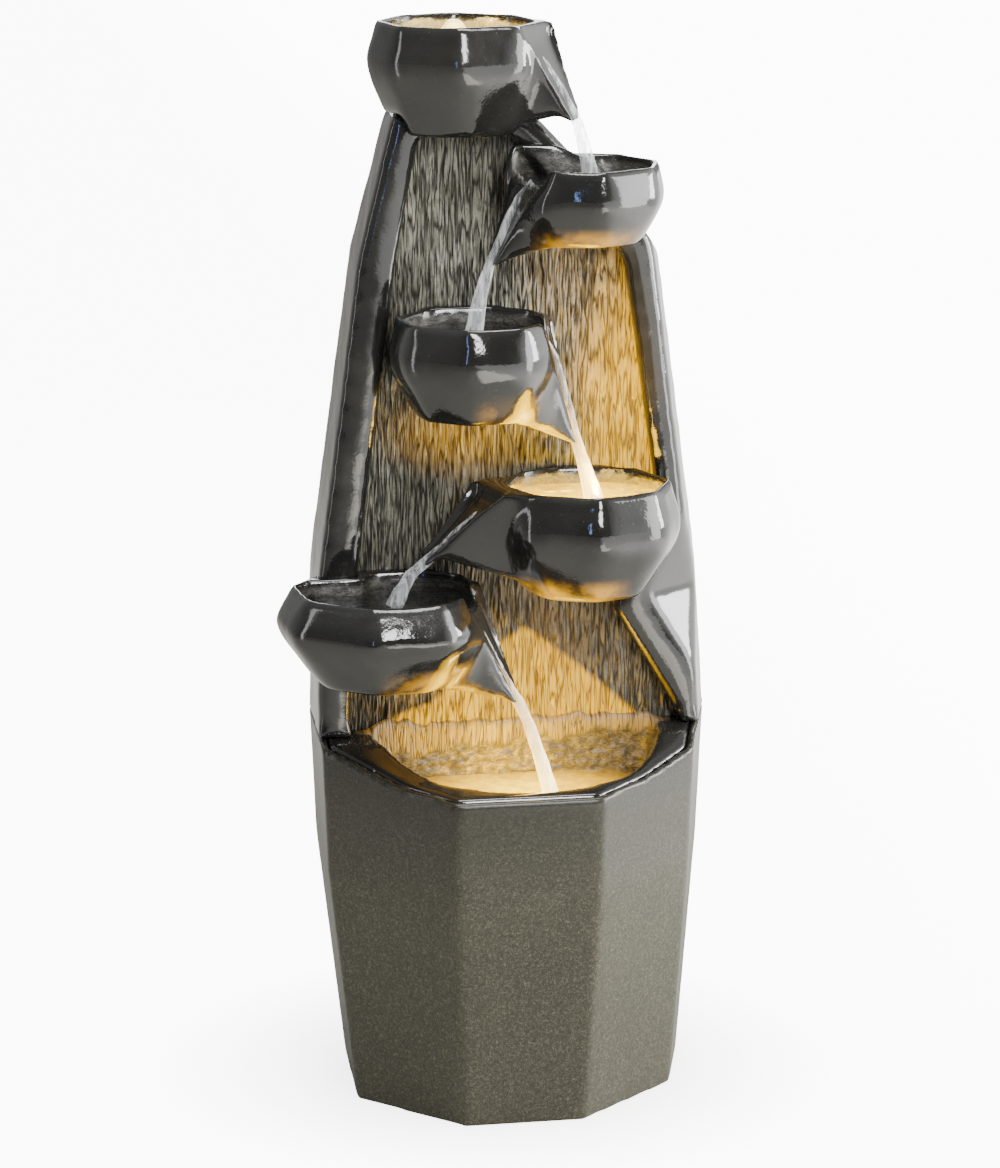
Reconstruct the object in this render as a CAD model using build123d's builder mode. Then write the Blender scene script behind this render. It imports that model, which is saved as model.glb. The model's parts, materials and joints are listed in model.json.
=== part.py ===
"""Cascade garden fountain: faceted base, rock column and five spouted bowls, with pump and lights.

Millimetres. Front is -Y, right is +X, and the base stands on Z = 0 with the axis at the origin.
"""

import math
import os
from dataclasses import dataclass

from build123d import *

os.makedirs("parts", exist_ok=True)

# Outline of the base at its rim: reach of each side from the axis
front_reach = 188.0
front_right_reach = 180.5
right_reach = 182.0
back_right_reach = 169.0
back_reach = 182.0
back_left_reach = 176.0
left_reach = 178.0
front_left_reach = 185.0

# Bearings of the slanted sides, in degrees from +X
front_right_bearing = -49.0
right_bearing = -16.0
back_right_bearing = 36.5
back_left_bearing = 135.0
left_bearing = 177.0
front_left_bearing = 223.0

# Heights and draughts of the base
deck_height = 345.0
rim_front_height = 318.0
rim_middle_height = 324.0
rim_middle_reach = 133.0
rim_side_reach = 76.0
shoulder_height = 225.0
foot_draught = 31.0
right_foot_draught = 22.0
shoulder_draught = 5.0
tub_wall = 14.0
tub_floor = 14.0

# Deck with the basin dish
deck_thickness = 12.0
deck_ledge = 7.0
deck_gap = 0.3
dish_centre_x = 4.0
dish_centre_reach = 40.0
dish_half_width = 132.0
dish_half_length = 128.0
dish_taper = 14.0
dish_wall = 8.0
dish_floor_height = 250.0
dish_floor = 8.0
dish_back_set = 2.0
drain_radius = 6.0
drain_pitch = 26.0
drain_count = 5

# Column: heights of its bends above the deck, and how far each side has drawn in there
waist_rise = 145.0
chest_rise = 440.0
crown_rise = 580.0
waist_draw = {"right": 8.0, "back_right": 8.0, "back": 0.0, "back_left": 0.0, "left": 1.0}
chest_draw = {"right": 44.0, "back_right": 48.0, "back": 50.0, "back_left": 42.0, "left": 39.0}
crown_draw = {"right": 76.0, "back_right": 84.0, "back": 90.0, "back_left": 82.0, "left": 73.0}
flank_reach = 45.0
plateau_rise = 573.0
slope_x = 43.0
slope_rise = 548.0
slope_angle = 46.6
column_wall = 14.0

# Window between the flanks, and the bark panel behind it
panel_reach = 20.0
panel_thickness = 12.0
panel_lap = 5.0
panel_gap = 0.2
window_top_rise = 555.0
slope_flank = 30.0
flank_left = ((0.0, 30.0), (145.0, 36.0), (440.0, 36.0), (580.0, 29.0))
flank_right = ((0.0, 14.0), (112.0, 74.0), (212.0, 22.0), (440.0, 26.0), (580.0, 29.0))

# Chip off the right flank, under the fourth bowl: its corners on the flank's face and on the right side
chip_point_x = 126.0
chip_point_rise = 124.0
chip_foot_rise = 46.0
chip_top_rise = 206.0
chip_depth = 45.0

# Bowls: place on the panel, girths, depth and spout of each, from the top down
top_bowl_x = -46.0
top_bowl_ahead = 0.0
top_bowl_rise = 655.0
top_bowl_rim = 72.0
top_bowl_belly = 78.0
top_bowl_belly_drop = 38.0
top_bowl_depth = 100.0
top_bowl_under = 54.0
top_bowl_start = -76.0
top_bowl_tip_x = 54.0
top_bowl_tip_ahead = 45.0
top_bowl_tip_rise = 567.0
top_bowl_brow = 68.0
top_bowl_fin = 18.0
second_bowl_x = 56.0
second_bowl_ahead = 66.0
second_bowl_rise = 533.0
second_bowl_rim = 69.0
second_bowl_belly = 72.0
second_bowl_belly_drop = 30.0
second_bowl_depth = 70.0
second_bowl_under = 50.0
second_bowl_start = -62.0
second_bowl_tip_x = -27.0
second_bowl_tip_ahead = 64.0
second_bowl_tip_rise = 442.0
second_bowl_brow = 42.0
second_bowl_fin = 22.0
third_bowl_x = -42.0
third_bowl_ahead = 66.0
third_bowl_rise = 396.0
third_bowl_rim = 70.0
third_bowl_belly = 73.0
third_bowl_belly_drop = 44.0
third_bowl_depth = 90.0
third_bowl_under = 50.0
third_bowl_start = -82.0
third_bowl_tip_x = 51.0
third_bowl_tip_ahead = 70.0
third_bowl_tip_rise = 278.0
third_bowl_brow = 60.0
third_bowl_fin = 18.0
fourth_bowl_x = 60.0
fourth_bowl_ahead = 72.0
fourth_bowl_rise = 244.0
fourth_bowl_rim = 75.0
fourth_bowl_belly = 82.0
fourth_bowl_belly_drop = 48.0
fourth_bowl_depth = 102.0
fourth_bowl_under = 50.0
fourth_bowl_start = -70.0
fourth_bowl_tip_x = -90.0
fourth_bowl_tip_ahead = 72.0
fourth_bowl_tip_rise = 173.0
fourth_bowl_brow = 84.0
fourth_bowl_fin = 20.0
fifth_bowl_x = -124.0
fifth_bowl_ahead = 70.0
fifth_bowl_rise = 152.0
fifth_bowl_rim = 84.0
fifth_bowl_belly = 97.0
fifth_bowl_belly_drop = 33.0
fifth_bowl_depth = 86.0
fifth_bowl_under = 60.0
fifth_bowl_start = -84.0
fifth_bowl_tip_x = -6.0
fifth_bowl_tip_ahead = 84.0
fifth_bowl_tip_rise = 43.0
fifth_bowl_brow = 68.0
fifth_bowl_fin = 24.0

# Walls, facets and spout sections that the bowls share
bowl_wall = 9.0
bowl_floor = 12.0
facet_count = 8
pool_drop = 15.0
spout_nose = 4.0
spout_lip = 4.0
spout_root_half = 62.0
spout_tip_half = 12.0
spout_wall = 5.0
spout_keel_half = 30.0
spout_undercut = 14.0
spout_arch = 6.0
spout_over = 0.25
sill_set = 4.0
sill_overlap = 1.0

# Rear access door, its pull and its magnets
door_width = 106.0
door_height = 84.0
door_thickness = 8.0
door_lap = 12.0
door_gap = 0.4
door_margin = 4.0
knob_radius = 11.0
knob_neck_radius = 6.0
knob_neck = 7.0
knob_head = 9.0
knob_screw_radius = 2.0
knob_screw_head_radius = 4.0
knob_screw_head = 2.5
knob_screw_bite = 10.0
knob_screw_gap = 0.1
magnet_radius = 4.0
magnet_height = 3.0
magnet_gap = 0.1

# Cord grommet in the back wall, under the door
grommet_rise = 18.0
grommet_hole_radius = 9.0
grommet_bore_radius = 4.0
grommet_flange_radius = 12.0
grommet_flange = 2.5
grommet_gap = 0.1

# Dowels between the base and the column
dowel_radius = 3.0
dowel_length = 30.0
dowel_gap = 0.1
right_dowel_shift = 56.0
left_dowel_shift = -36.0

# Riser: the hose line, and the fitting that ends it in the top bowl
riser_x = -45.0
riser_stand_off = 14.0
hose_bore_radius = 6.0
hose_wall = 2.0
hose_bend_radius = 70.0
hose_lead = 70.0
hose_swing = 95.0
barb_gap = 0.05
barb_length = 20.0
nozzle_bore_radius = 4.0
nozzle_stem_radius = 8.0
nozzle_pipe_radius = 6.0
nozzle_flange_radius = 12.0
nozzle_flange = 4.0
nozzle_pipe_top_drop = 12.0
nozzle_thread_show = 3.0
gasket_thickness = 2.0
nut_across = 22.0
nut_height = 8.0
hole_gap = 0.3
clamp_wall = 2.0
clamp_height = 8.0
clamp_lug = 7.0
clip_width = 10.0
clip_wall = 3.0
clip_gap = 0.1
clip_rises = (110.0, 330.0)
top_clip_drop = 48.0

# Pump
pump_y = 32.0
pump_width = 56.0
pump_height = 56.0
pump_corner_radius = 6.0
motor_length = 68.0
cover_length = 26.0
cover_wall = 5.0
chamber_radius = 22.0
intake_radius = 11.0
intake_bar = 4.0
intake_hub_radius = 4.0
spigot_length = 6.0
shaft_radius = 2.0
shaft_gap = 0.05
shaft_seat = 5.0
rotor_radius = 12.0
rotor_gap = 1.5
rotor_length = 40.0
wheel_radius = 18.0
wheel_plate = 3.0
wheel_hub_radius = 5.0
vane_count = 6
vane_thickness = 2.0
vane_height = 9.0
end_play = 0.3
strainer_length = 36.0
strainer_wall = 3.0
strainer_gap = 0.15
slot_width = 4.0
slot_pitch = 9.0
slot_count = 3
dial_radius = 10.0
dial_height = 5.0
dial_stem_radius = 3.0
dial_stem_gap = 0.05
dial_keeper_radius = 6.0
dial_keeper = 2.0
dial_finger = 6.0
outlet_flange_radius = 9.0
outlet_flange = 3.0
foot_height = 8.0
foot_top_radius = 5.0
foot_lip_radius = 8.0
foot_set = 12.0

# Lights
led_radius = 19.0
led_height = 11.0
led_wall = 3.0
led_recess = 6.0
led_seal = 1.0
led_gap = 0.15
lens_rise = 1.5
ring_radius = 22.0
ring_height = 8.0
ring_gap = 0.5
bowl_led_right = 8.0
bowl_led_ahead = 88.0
basin_led_x = 2.0
basin_led_ahead = 72.0

# Planes that the pieces share
panel_face = -panel_reach
panel_back = panel_face + panel_thickness
flank_face = -flank_reach
riser_y = panel_back + riser_stand_off
far = 3.0 * max(back_reach, left_reach, front_reach)


@dataclass
class Bowl:
    """One cast bowl: its place on the panel, its girths and the tip of its spout."""

    name: str
    x: float
    ahead: float
    rise: float
    rim: float
    belly: float
    belly_drop: float
    depth: float
    under: float
    start: float
    tip_x: float
    tip_ahead: float
    tip_rise: float
    brow: float
    fin: float
    free: bool = False

    @property
    def y(self):
        return panel_face - self.ahead

    @property
    def rim_z(self):
        return deck_height + self.rise

    @property
    def low_z(self):
        return self.rim_z - self.depth

    @property
    def tip(self):
        return Vector(self.tip_x, panel_face - self.tip_ahead, deck_height + self.tip_rise)

    @property
    def spout_reach(self):
        return math.hypot(self.tip.X - self.x, self.tip.Y - self.y)

    @property
    def spout_way(self):
        return Vector(self.tip.X - self.x, self.tip.Y - self.y, 0).normalized()


bowls = [
    Bowl("top_bowl", x=top_bowl_x, ahead=top_bowl_ahead, rise=top_bowl_rise, rim=top_bowl_rim,
         belly=top_bowl_belly, belly_drop=top_bowl_belly_drop, depth=top_bowl_depth,
         under=top_bowl_under, start=top_bowl_start, tip_x=top_bowl_tip_x,
         tip_ahead=top_bowl_tip_ahead, tip_rise=top_bowl_tip_rise, brow=top_bowl_brow,
         fin=top_bowl_fin, free=True),
    Bowl("second_bowl", x=second_bowl_x, ahead=second_bowl_ahead, rise=second_bowl_rise,
         rim=second_bowl_rim, belly=second_bowl_belly, belly_drop=second_bowl_belly_drop,
         depth=second_bowl_depth, under=second_bowl_under, start=second_bowl_start,
         tip_x=second_bowl_tip_x, tip_ahead=second_bowl_tip_ahead, tip_rise=second_bowl_tip_rise,
         brow=second_bowl_brow, fin=second_bowl_fin),
    Bowl("third_bowl", x=third_bowl_x, ahead=third_bowl_ahead, rise=third_bowl_rise,
         rim=third_bowl_rim, belly=third_bowl_belly, belly_drop=third_bowl_belly_drop,
         depth=third_bowl_depth, under=third_bowl_under, start=third_bowl_start,
         tip_x=third_bowl_tip_x, tip_ahead=third_bowl_tip_ahead, tip_rise=third_bowl_tip_rise,
         brow=third_bowl_brow, fin=third_bowl_fin),
    Bowl("fourth_bowl", x=fourth_bowl_x, ahead=fourth_bowl_ahead, rise=fourth_bowl_rise,
         rim=fourth_bowl_rim, belly=fourth_bowl_belly, belly_drop=fourth_bowl_belly_drop,
         depth=fourth_bowl_depth, under=fourth_bowl_under, start=fourth_bowl_start,
         tip_x=fourth_bowl_tip_x, tip_ahead=fourth_bowl_tip_ahead, tip_rise=fourth_bowl_tip_rise,
         brow=fourth_bowl_brow, fin=fourth_bowl_fin),
    Bowl("fifth_bowl", x=fifth_bowl_x, ahead=fifth_bowl_ahead, rise=fifth_bowl_rise,
         rim=fifth_bowl_rim, belly=fifth_bowl_belly, belly_drop=fifth_bowl_belly_drop,
         depth=fifth_bowl_depth, under=fifth_bowl_under, start=fifth_bowl_start,
         tip_x=fifth_bowl_tip_x, tip_ahead=fifth_bowl_tip_ahead, tip_rise=fifth_bowl_tip_rise,
         brow=fifth_bowl_brow, fin=fifth_bowl_fin),
]
top_bowl = bowls[0]
lit_bowl = bowls[3]


def side_plane(bearing, low, high, centre=(0.0, 0.0)):
    """Plane of a side at a bearing, through two pairs of height and reach."""
    angle = math.radians(bearing)
    lean = (low[1] - high[1]) / (high[0] - low[0])
    origin = (centre[0] + low[1] * math.cos(angle), centre[1] + low[1] * math.sin(angle), low[0])
    return Plane(origin=origin, z_dir=(math.cos(angle), math.sin(angle), lean))


def hew(planes, grow=0.0):
    """Cut the block in hand back to the inner side of each plane, moved outwards by grow."""
    for plane in planes:
        split(bisect_by=plane.offset(grow), keep=Keep.BOTTOM)


def level(height):
    """Plane that faces up at a height."""
    return Plane.XY.offset(height)


def facing_front(y):
    """Plane at a depth, facing the front."""
    return Plane.XZ.offset(-y)


def base_planes():
    """Two bands of sides around the base."""
    sides = [(-90.0, front_reach, foot_draught), (front_right_bearing, front_right_reach, foot_draught),
             (right_bearing, right_reach, right_foot_draught),
             (back_right_bearing, back_right_reach, right_foot_draught),
             (90.0, back_reach, foot_draught), (back_left_bearing, back_left_reach, foot_draught),
             (left_bearing, left_reach, foot_draught),
             (front_left_bearing, front_left_reach, foot_draught)]
    planes = []
    for bearing, reach, draught in sides:
        shoulder = (shoulder_height, reach - shoulder_draught)
        planes.append(side_plane(bearing, (0.0, reach - draught), shoulder))
        planes.append(side_plane(bearing, shoulder, (deck_height, reach)))
    return planes


def column_reaches(side):
    """Heights and reaches of one side of the column, from the deck up."""
    foot = {"right": right_reach, "back_right": back_right_reach, "back": back_reach,
            "back_left": back_left_reach, "left": left_reach}[side]
    return [(deck_height, foot),
            (deck_height + waist_rise, foot - waist_draw[side]),
            (deck_height + chest_rise, foot - chest_draw[side]),
            (deck_height + crown_rise, foot - crown_draw[side])]


def slope_plane():
    """Plane of the slope that falls from the plateau to the right shoulder."""
    angle = math.radians(slope_angle)
    normal = (math.sin(angle), 0, math.cos(angle))
    return Plane(origin=(slope_x, 0, deck_height + slope_rise), z_dir=normal)


def column_planes():
    """Sides, front and top of the column."""
    bearings = {"right": right_bearing, "back_right": back_right_bearing, "back": 90.0,
                "back_left": back_left_bearing, "left": left_bearing}
    planes = [facing_front(flank_face), level(deck_height + plateau_rise), slope_plane()]
    for side, bearing in bearings.items():
        bends = column_reaches(side)
        planes += [side_plane(bearing, low, high) for low, high in zip(bends, bends[1:])]
    return planes


def side_x(side, bearing, depth, rise):
    """Place across the front where a side of the column meets a depth, at a rise above the deck."""
    bends = column_reaches(side)
    height = deck_height + rise
    low, high = next((pair for pair in zip(bends, bends[1:]) if height <= pair[1][0]), bends[-2:])
    reach = low[1] + (high[1] - low[1]) * (height - low[0]) / (high[0] - low[0])
    turn = math.radians(bearing)
    return (reach - depth * math.sin(turn)) / math.cos(turn)


def window_corners():
    """Outline of the window between the flanks, seen from the front."""
    left = [(side_x("left", left_bearing, flank_face, rise) + flank, deck_height + rise)
            for rise, flank in flank_left]
    right = [(side_x("right", right_bearing, flank_face, rise) - flank, deck_height + rise)
             for rise, flank in flank_right]
    return left + right[::-1]


def chip_block(grow):
    """Wedge that is struck off the corner of the right flank, drawn back by grow."""
    back = flank_face + chip_depth
    front_point = Vector(chip_point_x, flank_face, deck_height + chip_point_rise)
    back_point = Vector(side_x("right", right_bearing, back, chip_point_rise), back, front_point.Z)
    with BuildPart() as block:
        Box(2 * far, 2 * far, 2 * far)
        for rise in (chip_foot_rise, chip_top_rise):
            end = Vector(side_x("right", right_bearing, flank_face, rise), flank_face, deck_height + rise)
            normal = (back_point - front_point).cross(end - front_point).normalized()
            normal = normal if normal.X > 0 else normal * -1
            split(bisect_by=Plane(origin=front_point, z_dir=normal).offset(grow), keep=Keep.TOP)
    return block.part


def window_block(back, depth, grow, foot):
    """Window outline as a block from a back plane forwards, grown sideways and carried down to foot."""
    with BuildPart() as block:
        with BuildSketch(facing_front(back)):
            Polygon(*window_corners(), align=None)
            offset(amount=grow, kind=Kind.INTERSECTION)
        extrude(amount=depth)
        split(bisect_by=level(deck_height + window_top_rise + grow), keep=Keep.BOTTOM)
        split(bisect_by=level(foot), keep=Keep.TOP)
        split(bisect_by=slope_plane().offset(grow - slope_flank), keep=Keep.BOTTOM)
    return block.part


def column_mass(grow=0.0):
    """Column with its window sunk to the panel's face, grown on every side but its foot."""
    window = window_block(panel_face - grow, far, -grow, deck_height - column_wall)
    chip = chip_block(grow)
    with BuildPart() as mass:
        with Locations((0, 0, deck_height)):
            Box(2 * far, 2 * far, 2 * crown_rise, align=(Align.CENTER, Align.CENTER, Align.MIN))
        hew(column_planes(), grow)
        add(window, mode=Mode.SUBTRACT)
        add(chip, mode=Mode.SUBTRACT)
    return mass.part


def above_rim(drop):
    """Everything above the base's rim line, lowered by drop, as one block."""
    with BuildPart() as block:
        with BuildSketch(Plane.YZ):
            Polygon((-far, rim_front_height - drop), (-front_reach, rim_front_height - drop),
                    (-rim_middle_reach, rim_middle_height - drop), (-rim_side_reach, deck_height - drop),
                    (far, deck_height - drop), (far, deck_height + far), (-far, deck_height + far),
                    align=None)
        extrude(amount=far, both=True)
    return block.part


def base_block(grow, low, high):
    """Faceted body of the base between two heights, with its sides moved by grow."""
    with BuildPart() as block:
        with Locations((0, 0, low)):
            Box(2 * far, 2 * far, high - low, align=(Align.CENTER, Align.CENTER, Align.MIN))
        hew(base_planes(), grow)
    return block.part


def dish_block(grow, low, high):
    """Oval of the basin, cut straight across at the back, grown sideways, between two heights."""
    with BuildPart() as block:
        for height in (low, high):
            spread = grow - dish_taper * (deck_height - height) / (deck_height - dish_floor_height)
            with BuildSketch(level(height)):
                with Locations((dish_centre_x, -dish_centre_reach)):
                    Ellipse(dish_half_width + spread, dish_half_length + spread)
        loft(ruled=True)
        back = panel_face - dish_back_set + (panel_thickness + dish_back_set if grow > 0 else 0.0)
        split(bisect_by=Plane(origin=(0, back, 0), z_dir=(0, 1, 0)), keep=Keep.BOTTOM)
    return block.part


def gem(bowl, grow, low, high):
    """Faceted body of a bowl: one ring of facets above its belly and one below."""
    step = 360.0 / facet_count
    belly = (bowl.rim_z - bowl.belly_drop, bowl.belly)
    centre = (bowl.x, bowl.y)
    planes = []
    for k in range(facet_count):
        bearing = bowl.start + k * step
        planes.append(side_plane(bearing, belly, (bowl.rim_z, bowl.rim), centre))
        if bowl.free or math.sin(math.radians(bearing)) < math.cos(math.radians(step)):
            planes.append(side_plane(bearing, (bowl.low_z, bowl.under), belly, centre))
    with BuildPart() as block:
        with Locations((bowl.x, bowl.y, low)):
            Box(4 * bowl.belly, 4 * bowl.belly, high - low,
                align=(Align.CENTER, Align.CENTER, Align.MIN))
        hew(planes, grow)
    return block.part


def brow_points(bowl):
    """Front and back points on the rim where the spout's edges start to fall."""
    way = bowl.spout_way
    across = Vector(-way.Y, way.X, 0)
    back = across if way.X > 0 else across * -1
    centre = Vector(bowl.x, bowl.y, bowl.rim_z)
    half = bowl.rim / 2
    return centre + way * bowl.brow - back * half, centre + way * (bowl.brow + bowl.fin) + back * half


def plane_through(first, second, third):
    """Plane through three points, facing up."""
    normal = (second - first).cross(third - first).normalized()
    return Plane(origin=first, z_dir=normal if normal.Z > 0 else normal * -1)


def brow_plane(bowl):
    """Plane that the edges of the spout lie in, from the rim to the tip."""
    front, back = brow_points(bowl)
    return plane_through(front, back, bowl.tip + Vector(0, 0, spout_nose + spout_lip))


def sill_frame(bowl):
    """Point on the sill where water leaves the pool, and the level direction along the sill."""
    front, back = brow_points(bowl)
    along = (back - front).normalized()
    outwards = along.cross(Vector(0, 0, 1))
    outwards = outwards if outwards.dot(bowl.spout_way) > 0 else outwards * -1
    return front - outwards * sill_set - Vector(0, 0, pool_drop), along, outwards


def spout_plan(bowl, inset, past):
    """Keel-shaped block over the spout's plan, from inside the bowl to past its tip, narrower below."""
    heel = bowl.rim / 3
    reach = bowl.spout_reach + past
    tip = spout_tip_half - inset
    with BuildPart() as block:
        for share in (-spout_over, 1 + spout_over):
            root = spout_keel_half + (spout_root_half - spout_keel_half) * share - inset
            height = bowl.tip.Z + (bowl.rim_z - bowl.tip.Z) * share
            with BuildSketch(Plane(origin=(bowl.x, bowl.y, height), x_dir=bowl.spout_way, z_dir=(0, 0, 1))):
                Polygon((heel, -root), (reach, -tip), (reach, tip), (heel, root), align=None)
        loft(ruled=True)
    return block.part


def spout_beak(bowl):
    """Solid beak under the spout, drawn from the side down to the bowl's foot and tapered in plan."""
    way = bowl.spout_way
    heel = bowl.rim / 3
    reach = bowl.spout_reach
    throat = (reach - spout_undercut, bowl.tip.Z + spout_arch)
    side = Plane(origin=(bowl.x, bowl.y, 0), x_dir=way, z_dir=(way.Y, -way.X, 0))
    plan = spout_plan(bowl, 0.0, 0.0)
    with BuildPart() as beak:
        with BuildSketch(side):
            Polygon((heel, bowl.rim_z), (reach, bowl.rim_z), (reach, bowl.tip.Z), throat,
                    (heel, bowl.low_z), align=None)
        extrude(amount=spout_root_half, both=True)
        add(plan, mode=Mode.INTERSECT)
    return beak.part


def spout_channel(bowl):
    """Space that the water runs down, above the spout's floor and between its walls."""
    sill, along, outwards = sill_frame(bowl)
    floor = plane_through(sill, sill + along, bowl.tip + Vector(0, 0, spout_nose))
    plan = spout_plan(bowl, spout_wall, 2 * spout_lip)
    with BuildPart() as channel:
        add(plan)
        split(bisect_by=floor, keep=Keep.TOP)
        split(bisect_by=Plane(origin=sill - outwards * sill_overlap, z_dir=outwards), keep=Keep.TOP)
    return channel.part


def bowl_hollow(bowl, clear_of):
    """Pool space of a bowl, kept off the column and closed at the sill."""
    sill, along, outwards = sill_frame(bowl)
    body = gem(bowl, -bowl_wall, bowl.low_z + bowl_floor, bowl.rim_z + bowl_wall)
    with BuildPart() as hollow:
        add(body)
        split(bisect_by=Plane(origin=sill, z_dir=outwards), keep=Keep.BOTTOM)
        add(clear_of, mode=Mode.SUBTRACT)
    return hollow.part


def save(piece, name):
    """Label a finished piece and write its file."""
    piece.label = name
    export_step(piece, f"parts/{name}.step")


# Base tub, open at the top, with a ledge for the deck
tub_hollow = base_block(-tub_wall, tub_floor, deck_height + far)
deck_seat = base_block(-deck_ledge, rim_front_height - 2 * deck_thickness, deck_height + far)
ledge_line = above_rim(deck_thickness)
rim_line = above_rim(0.0)
behind_deck = Plane(origin=(0, panel_back, 0), z_dir=(0, 1, 0))

# Four dowels stand in the rim where the column's sides come down
dowel_inset = column_wall / 2
dowel_places = []
for dowel_bearing, dowel_reach, dowel_shift in (
        (right_bearing, right_reach, right_dowel_shift), (back_right_bearing, back_right_reach, 0.0),
        (back_left_bearing, back_left_reach, 0.0), (left_bearing, left_reach, left_dowel_shift)):
    dowel_turn = math.radians(dowel_bearing)
    dowel_far = dowel_reach - dowel_inset
    dowel_places.append((dowel_far * math.cos(dowel_turn) - dowel_shift * math.sin(dowel_turn),
                         dowel_far * math.sin(dowel_turn) + dowel_shift * math.cos(dowel_turn)))

with BuildPart() as deck_recess:
    add(deck_seat)
    add(ledge_line, mode=Mode.INTERSECT)
    split(bisect_by=behind_deck.offset(deck_gap), keep=Keep.BOTTOM)

with BuildPart() as dowels:
    with Locations(*[(x, y, deck_height) for x, y in dowel_places]):
        Cylinder(dowel_radius, dowel_length)
save(dowels.part, "column_dowels")

with BuildPart() as dowel_holes:
    with Locations(*[(x, y, deck_height) for x, y in dowel_places]):
        Cylinder(dowel_radius + dowel_gap, dowel_length)

with BuildPart() as base_tub:
    add(base_block(0.0, 0.0, deck_height))
    add(rim_line, mode=Mode.SUBTRACT)
    add(tub_hollow, mode=Mode.SUBTRACT)
    add(deck_recess.part, mode=Mode.SUBTRACT)
    add(dowel_holes.part, mode=Mode.SUBTRACT)
save(base_tub.part, "base_tub")

# Deck with the basin dish hanging under it, and its drain holes
deck_low_z = rim_front_height - 2 * deck_thickness
deck_outer = base_block(-deck_ledge - deck_gap, deck_low_z, deck_height + deck_thickness)
dish_room = base_block(-tub_wall - deck_gap, tub_floor, deck_height)
dish_outer = dish_room & dish_block(dish_wall, dish_floor_height - dish_floor, deck_height)
dish_inner = dish_block(0.0, dish_floor_height, deck_height + dish_wall)
with BuildPart() as basin_deck:
    add(deck_outer)
    add(ledge_line, mode=Mode.INTERSECT)
    split(bisect_by=behind_deck, keep=Keep.BOTTOM)
    add(dish_outer)
    add(rim_line, mode=Mode.SUBTRACT)
    add(dish_inner, mode=Mode.SUBTRACT)
    with Locations((dish_centre_x, panel_face - dish_back_set - drain_pitch, dish_floor_height)):
        with GridLocations(drain_pitch, 1.0, drain_count, 1):
            Cylinder(drain_radius, 4 * dish_floor, mode=Mode.SUBTRACT)
save(basin_deck.part, "basin_deck")

# Column shell: flanks, sides, back and top in one casting, with the rear door opening
column_solid = column_mass()
grommet_z = deck_height + grommet_rise
door_z = grommet_z + grommet_flange_radius + door_margin + door_lap + door_height / 2
back_face = Plane(origin=(0, back_reach, door_z), x_dir=(-1, 0, 0), z_dir=(0, 1, 0))
door_seat = back_face.offset(-door_thickness)

with BuildPart() as column_hollow:
    with Locations((0, 0, deck_height - column_wall)):
        Box(2 * far, 2 * far, 2 * crown_rise, align=(Align.CENTER, Align.CENTER, Align.MIN))
    hew(column_planes(), -column_wall)
    split(bisect_by=facing_front(panel_back), keep=Keep.BOTTOM)

panel_seat = window_block(panel_back, panel_thickness, panel_lap, deck_height)

catch_spread = door_width + door_lap

with BuildPart() as column_shell:
    add(column_solid)
    add(column_hollow.part, mode=Mode.SUBTRACT)
    add(panel_seat, mode=Mode.SUBTRACT)
    add(dowel_holes.part, mode=Mode.SUBTRACT)
    with BuildSketch(back_face):
        Rectangle(door_width + 2 * door_lap, door_height + 2 * door_lap)
    extrude(amount=-door_thickness, mode=Mode.SUBTRACT)
    with BuildSketch(back_face):
        Rectangle(door_width, door_height)
    extrude(amount=-2 * column_wall, mode=Mode.SUBTRACT)
    with BuildSketch(door_seat):
        with GridLocations(catch_spread, 1.0, 2, 1):
            Circle(magnet_radius + magnet_gap)
    extrude(amount=-magnet_height, mode=Mode.SUBTRACT)
    with Locations((0, back_reach, grommet_z)):
        Cylinder(grommet_hole_radius, 4 * column_wall, rotation=(90, 0, 0), mode=Mode.SUBTRACT)
    with Locations((riser_x, riser_y, deck_height + plateau_rise)):
        Cylinder(nozzle_stem_radius + hole_gap, 4 * column_wall, mode=Mode.SUBTRACT)
save(column_shell.part, "column_shell")

# Bark panel, lapped behind the flanks and standing on the deck
panel_block = window_block(panel_back, panel_thickness, panel_lap - panel_gap, deck_height)
with BuildPart() as bark_panel:
    add(panel_block)
save(bark_panel.part, "bark_panel")

# Bowls, each cut to the column behind it
column_clear = column_mass(bowl_wall)
for bowl_spec in bowls:
    bowl_body = gem(bowl_spec, 0.0, bowl_spec.low_z, bowl_spec.rim_z)
    bowl_beak = spout_beak(bowl_spec)
    bowl_pool = bowl_hollow(bowl_spec, column_clear)
    bowl_channel = spout_channel(bowl_spec)
    with BuildPart() as bowl_cast:
        add(bowl_body)
        add(bowl_beak)
        split(bisect_by=brow_plane(bowl_spec), keep=Keep.BOTTOM)
        add(bowl_pool, mode=Mode.SUBTRACT)
        add(bowl_channel, mode=Mode.SUBTRACT)
        add(column_solid, mode=Mode.SUBTRACT)
        if bowl_spec is top_bowl:
            with Locations((riser_x, riser_y, deck_height + plateau_rise)):
                Cylinder(nozzle_stem_radius + hole_gap, 4 * column_wall, mode=Mode.SUBTRACT)
    save(bowl_cast.part, bowl_spec.name)

# Rear access door with its pull and magnets
with BuildPart() as access_door:
    with BuildSketch(back_face):
        Rectangle(door_width + 2 * door_lap - 2 * door_gap, door_height + 2 * door_lap - 2 * door_gap)
    extrude(amount=-door_thickness)
    with BuildSketch(back_face):
        Circle(knob_screw_radius + hole_gap)
    extrude(amount=-door_thickness, mode=Mode.SUBTRACT)
    with BuildSketch(door_seat):
        with GridLocations(catch_spread, 1.0, 2, 1):
            Circle(magnet_radius + magnet_gap)
    extrude(amount=magnet_height, mode=Mode.SUBTRACT)
save(access_door.part, "access_door")

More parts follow.
